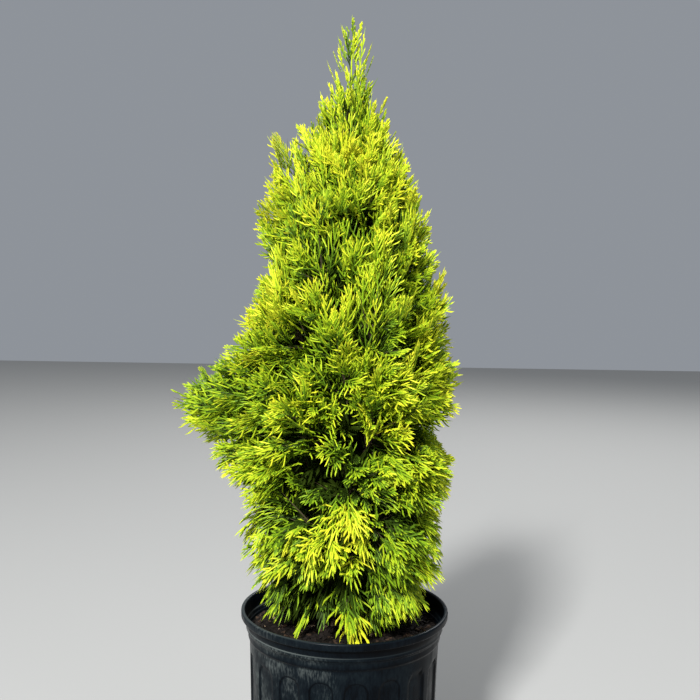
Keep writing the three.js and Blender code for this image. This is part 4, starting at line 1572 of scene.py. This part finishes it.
def buildChips(kind):
    # thin chips: a box of eight corners, each moved a little, turned about, tilted and laid on the soil
    number = np.arange(kind["count"])
    seed = kind["seed"]
    out, turn, long, wide, thick, spin = [chance(number, seed, step) for step in range(1, 7)]
    radius = (soil["edgeRadius"] - chipShape["fromWall"]) * np.sqrt(out)
    turn = 2 * np.pi * turn
    x = radius * np.cos(turn)
    y = radius * np.sin(turn)
    size = np.stack(
        [
            kind["long"] * mix(*chipShape["long"], long),
            kind["long"] * mix(*chipShape["wide"], wide),
            mix(*chipShape["thick"], thick),
        ],
        axis=-1,
    )
    signs = np.array([[a, b, c] for c in (-1, 1) for a, b in ((-1, -1), (1, -1), (1, 1), (-1, 1))])
    cornerKeys = np.arange(signs.size).reshape(signs.shape)
    moved = varied(chipShape["uneven"], number[:, None, None], cornerKeys, seed)
    corners = size[:, None] * signs / 2 * moved
    spin = 2 * np.pi * spin
    tilt = chipShape["tilt"] * jitter(number, seed, draw["chipTilt"])
    lie = np.stack([np.cos(spin) * np.cos(tilt), np.sin(spin) * np.cos(tilt), np.sin(tilt)], axis=-1)
    side = np.stack([-np.sin(spin), np.cos(spin), 0 * spin], axis=-1)
    axes = (lie, side, np.cross(lie, side))
    points = sum(corners[..., [axis]] * axes[axis][:, None] for axis in range(3))
    points += np.stack([x, y, soilHeight(x, y) + size[:, 2] * chipShape["raised"]], axis=-1)[:, None]
    box = [[3, 2, 1, 0], [4, 5, 6, 7], [0, 1, 5, 4], [1, 2, 6, 5], [2, 3, 7, 6], [3, 0, 4, 7]]
    faces = (number * len(signs))[:, None, None] + triangles(np.array(box))[None]
    material = principled(kind["name"].replace("_", " "), kind["color"], roughness=0.9, specular=0.2)
    makePiece(kind["name"], points.reshape(-1, 3), faces.reshape(-1, 3), material, "soil")


buildSoil()
for kind in chips:
    buildChips(kind)
print("built the soil")

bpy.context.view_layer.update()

# Floor, light and camera
studio = {
    "floorSize": 14,
    "floorColor": (0.34, 0.34, 0.33),
    "sky": (0.80, 0.86, 0.95),
    "skyStrength": 0.34,
}
view = {
    "place": (0.002, -1.361, 0.754),
    "pitch": 4.2,
    "roll": 0.9,
    "lens": 49.11,
    "sensor": 36,
}
lamps = named(
    "name place aim size watts",
    ("key light", (-1.6, -4.4, 4.1), (0, 0, 0.6), 0.8, 800),
    ("right fill", (3.4, -2.2, 2.2), (0, 0, 0.5), 2.4, 26),
    ("back light", (1.4, 3.6, 3.6), (0, 0, 0.6), 2.0, 130),
)


def aimed(place, aim):
    # the rotation that points an object's -Z from its place to its aim
    return (Vector(aim) - Vector(place)).to_track_quat("-Z", "Y").to_euler()


def buildStudio():
    # a plain floor, an even pale sky and the lamps
    half = studio["floorSize"] / 2
    corners = [(-half, -half, 0), (half, -half, 0), (half, half, 0), (-half, half, 0)]
    mesh = bpy.data.meshes.new("floor")
    mesh.from_pydata(corners, [], [(0, 1, 2, 3)])
    mesh.materials.append(principled("plain floor", studio["floorColor"], roughness=0.9))
    newObject("floor", mesh)
    world = bpy.data.worlds.new("plain sky")
    world.use_nodes = True
    sky = world.node_tree.nodes["Background"]
    sky.inputs["Color"].default_value = (*studio["sky"], 1)
    sky.inputs["Strength"].default_value = studio["skyStrength"]
    bpy.context.scene.world = world
    bpy.context.scene.view_settings.view_transform = "Standard"
    for lamp in lamps:
        light = bpy.data.lights.new(lamp["name"], "AREA")
        light.energy = lamp["watts"]
        light.size = lamp["size"]
        holder = newObject(lamp["name"], light)
        holder.location = lamp["place"]
        holder.rotation_euler = aimed(lamp["place"], lamp["aim"])


def buildCamera():
    # level, tipped down by its pitch, then rolled about its own view axis
    camera = bpy.data.cameras.new("photo view")
    camera.lens = view["lens"]
    camera.sensor_width = view["sensor"]
    holder = newObject("photo view", camera)
    tipped = Matrix.Rotation((90 - view["pitch"]) * degree, 4, "X")
    rolled = Matrix.Rotation(view["roll"] * degree, 4, "Z")
    holder.matrix_world = Matrix.Translation(view["place"]) @ tipped @ rolled
    bpy.context.scene.camera = holder


buildStudio()
buildCamera()
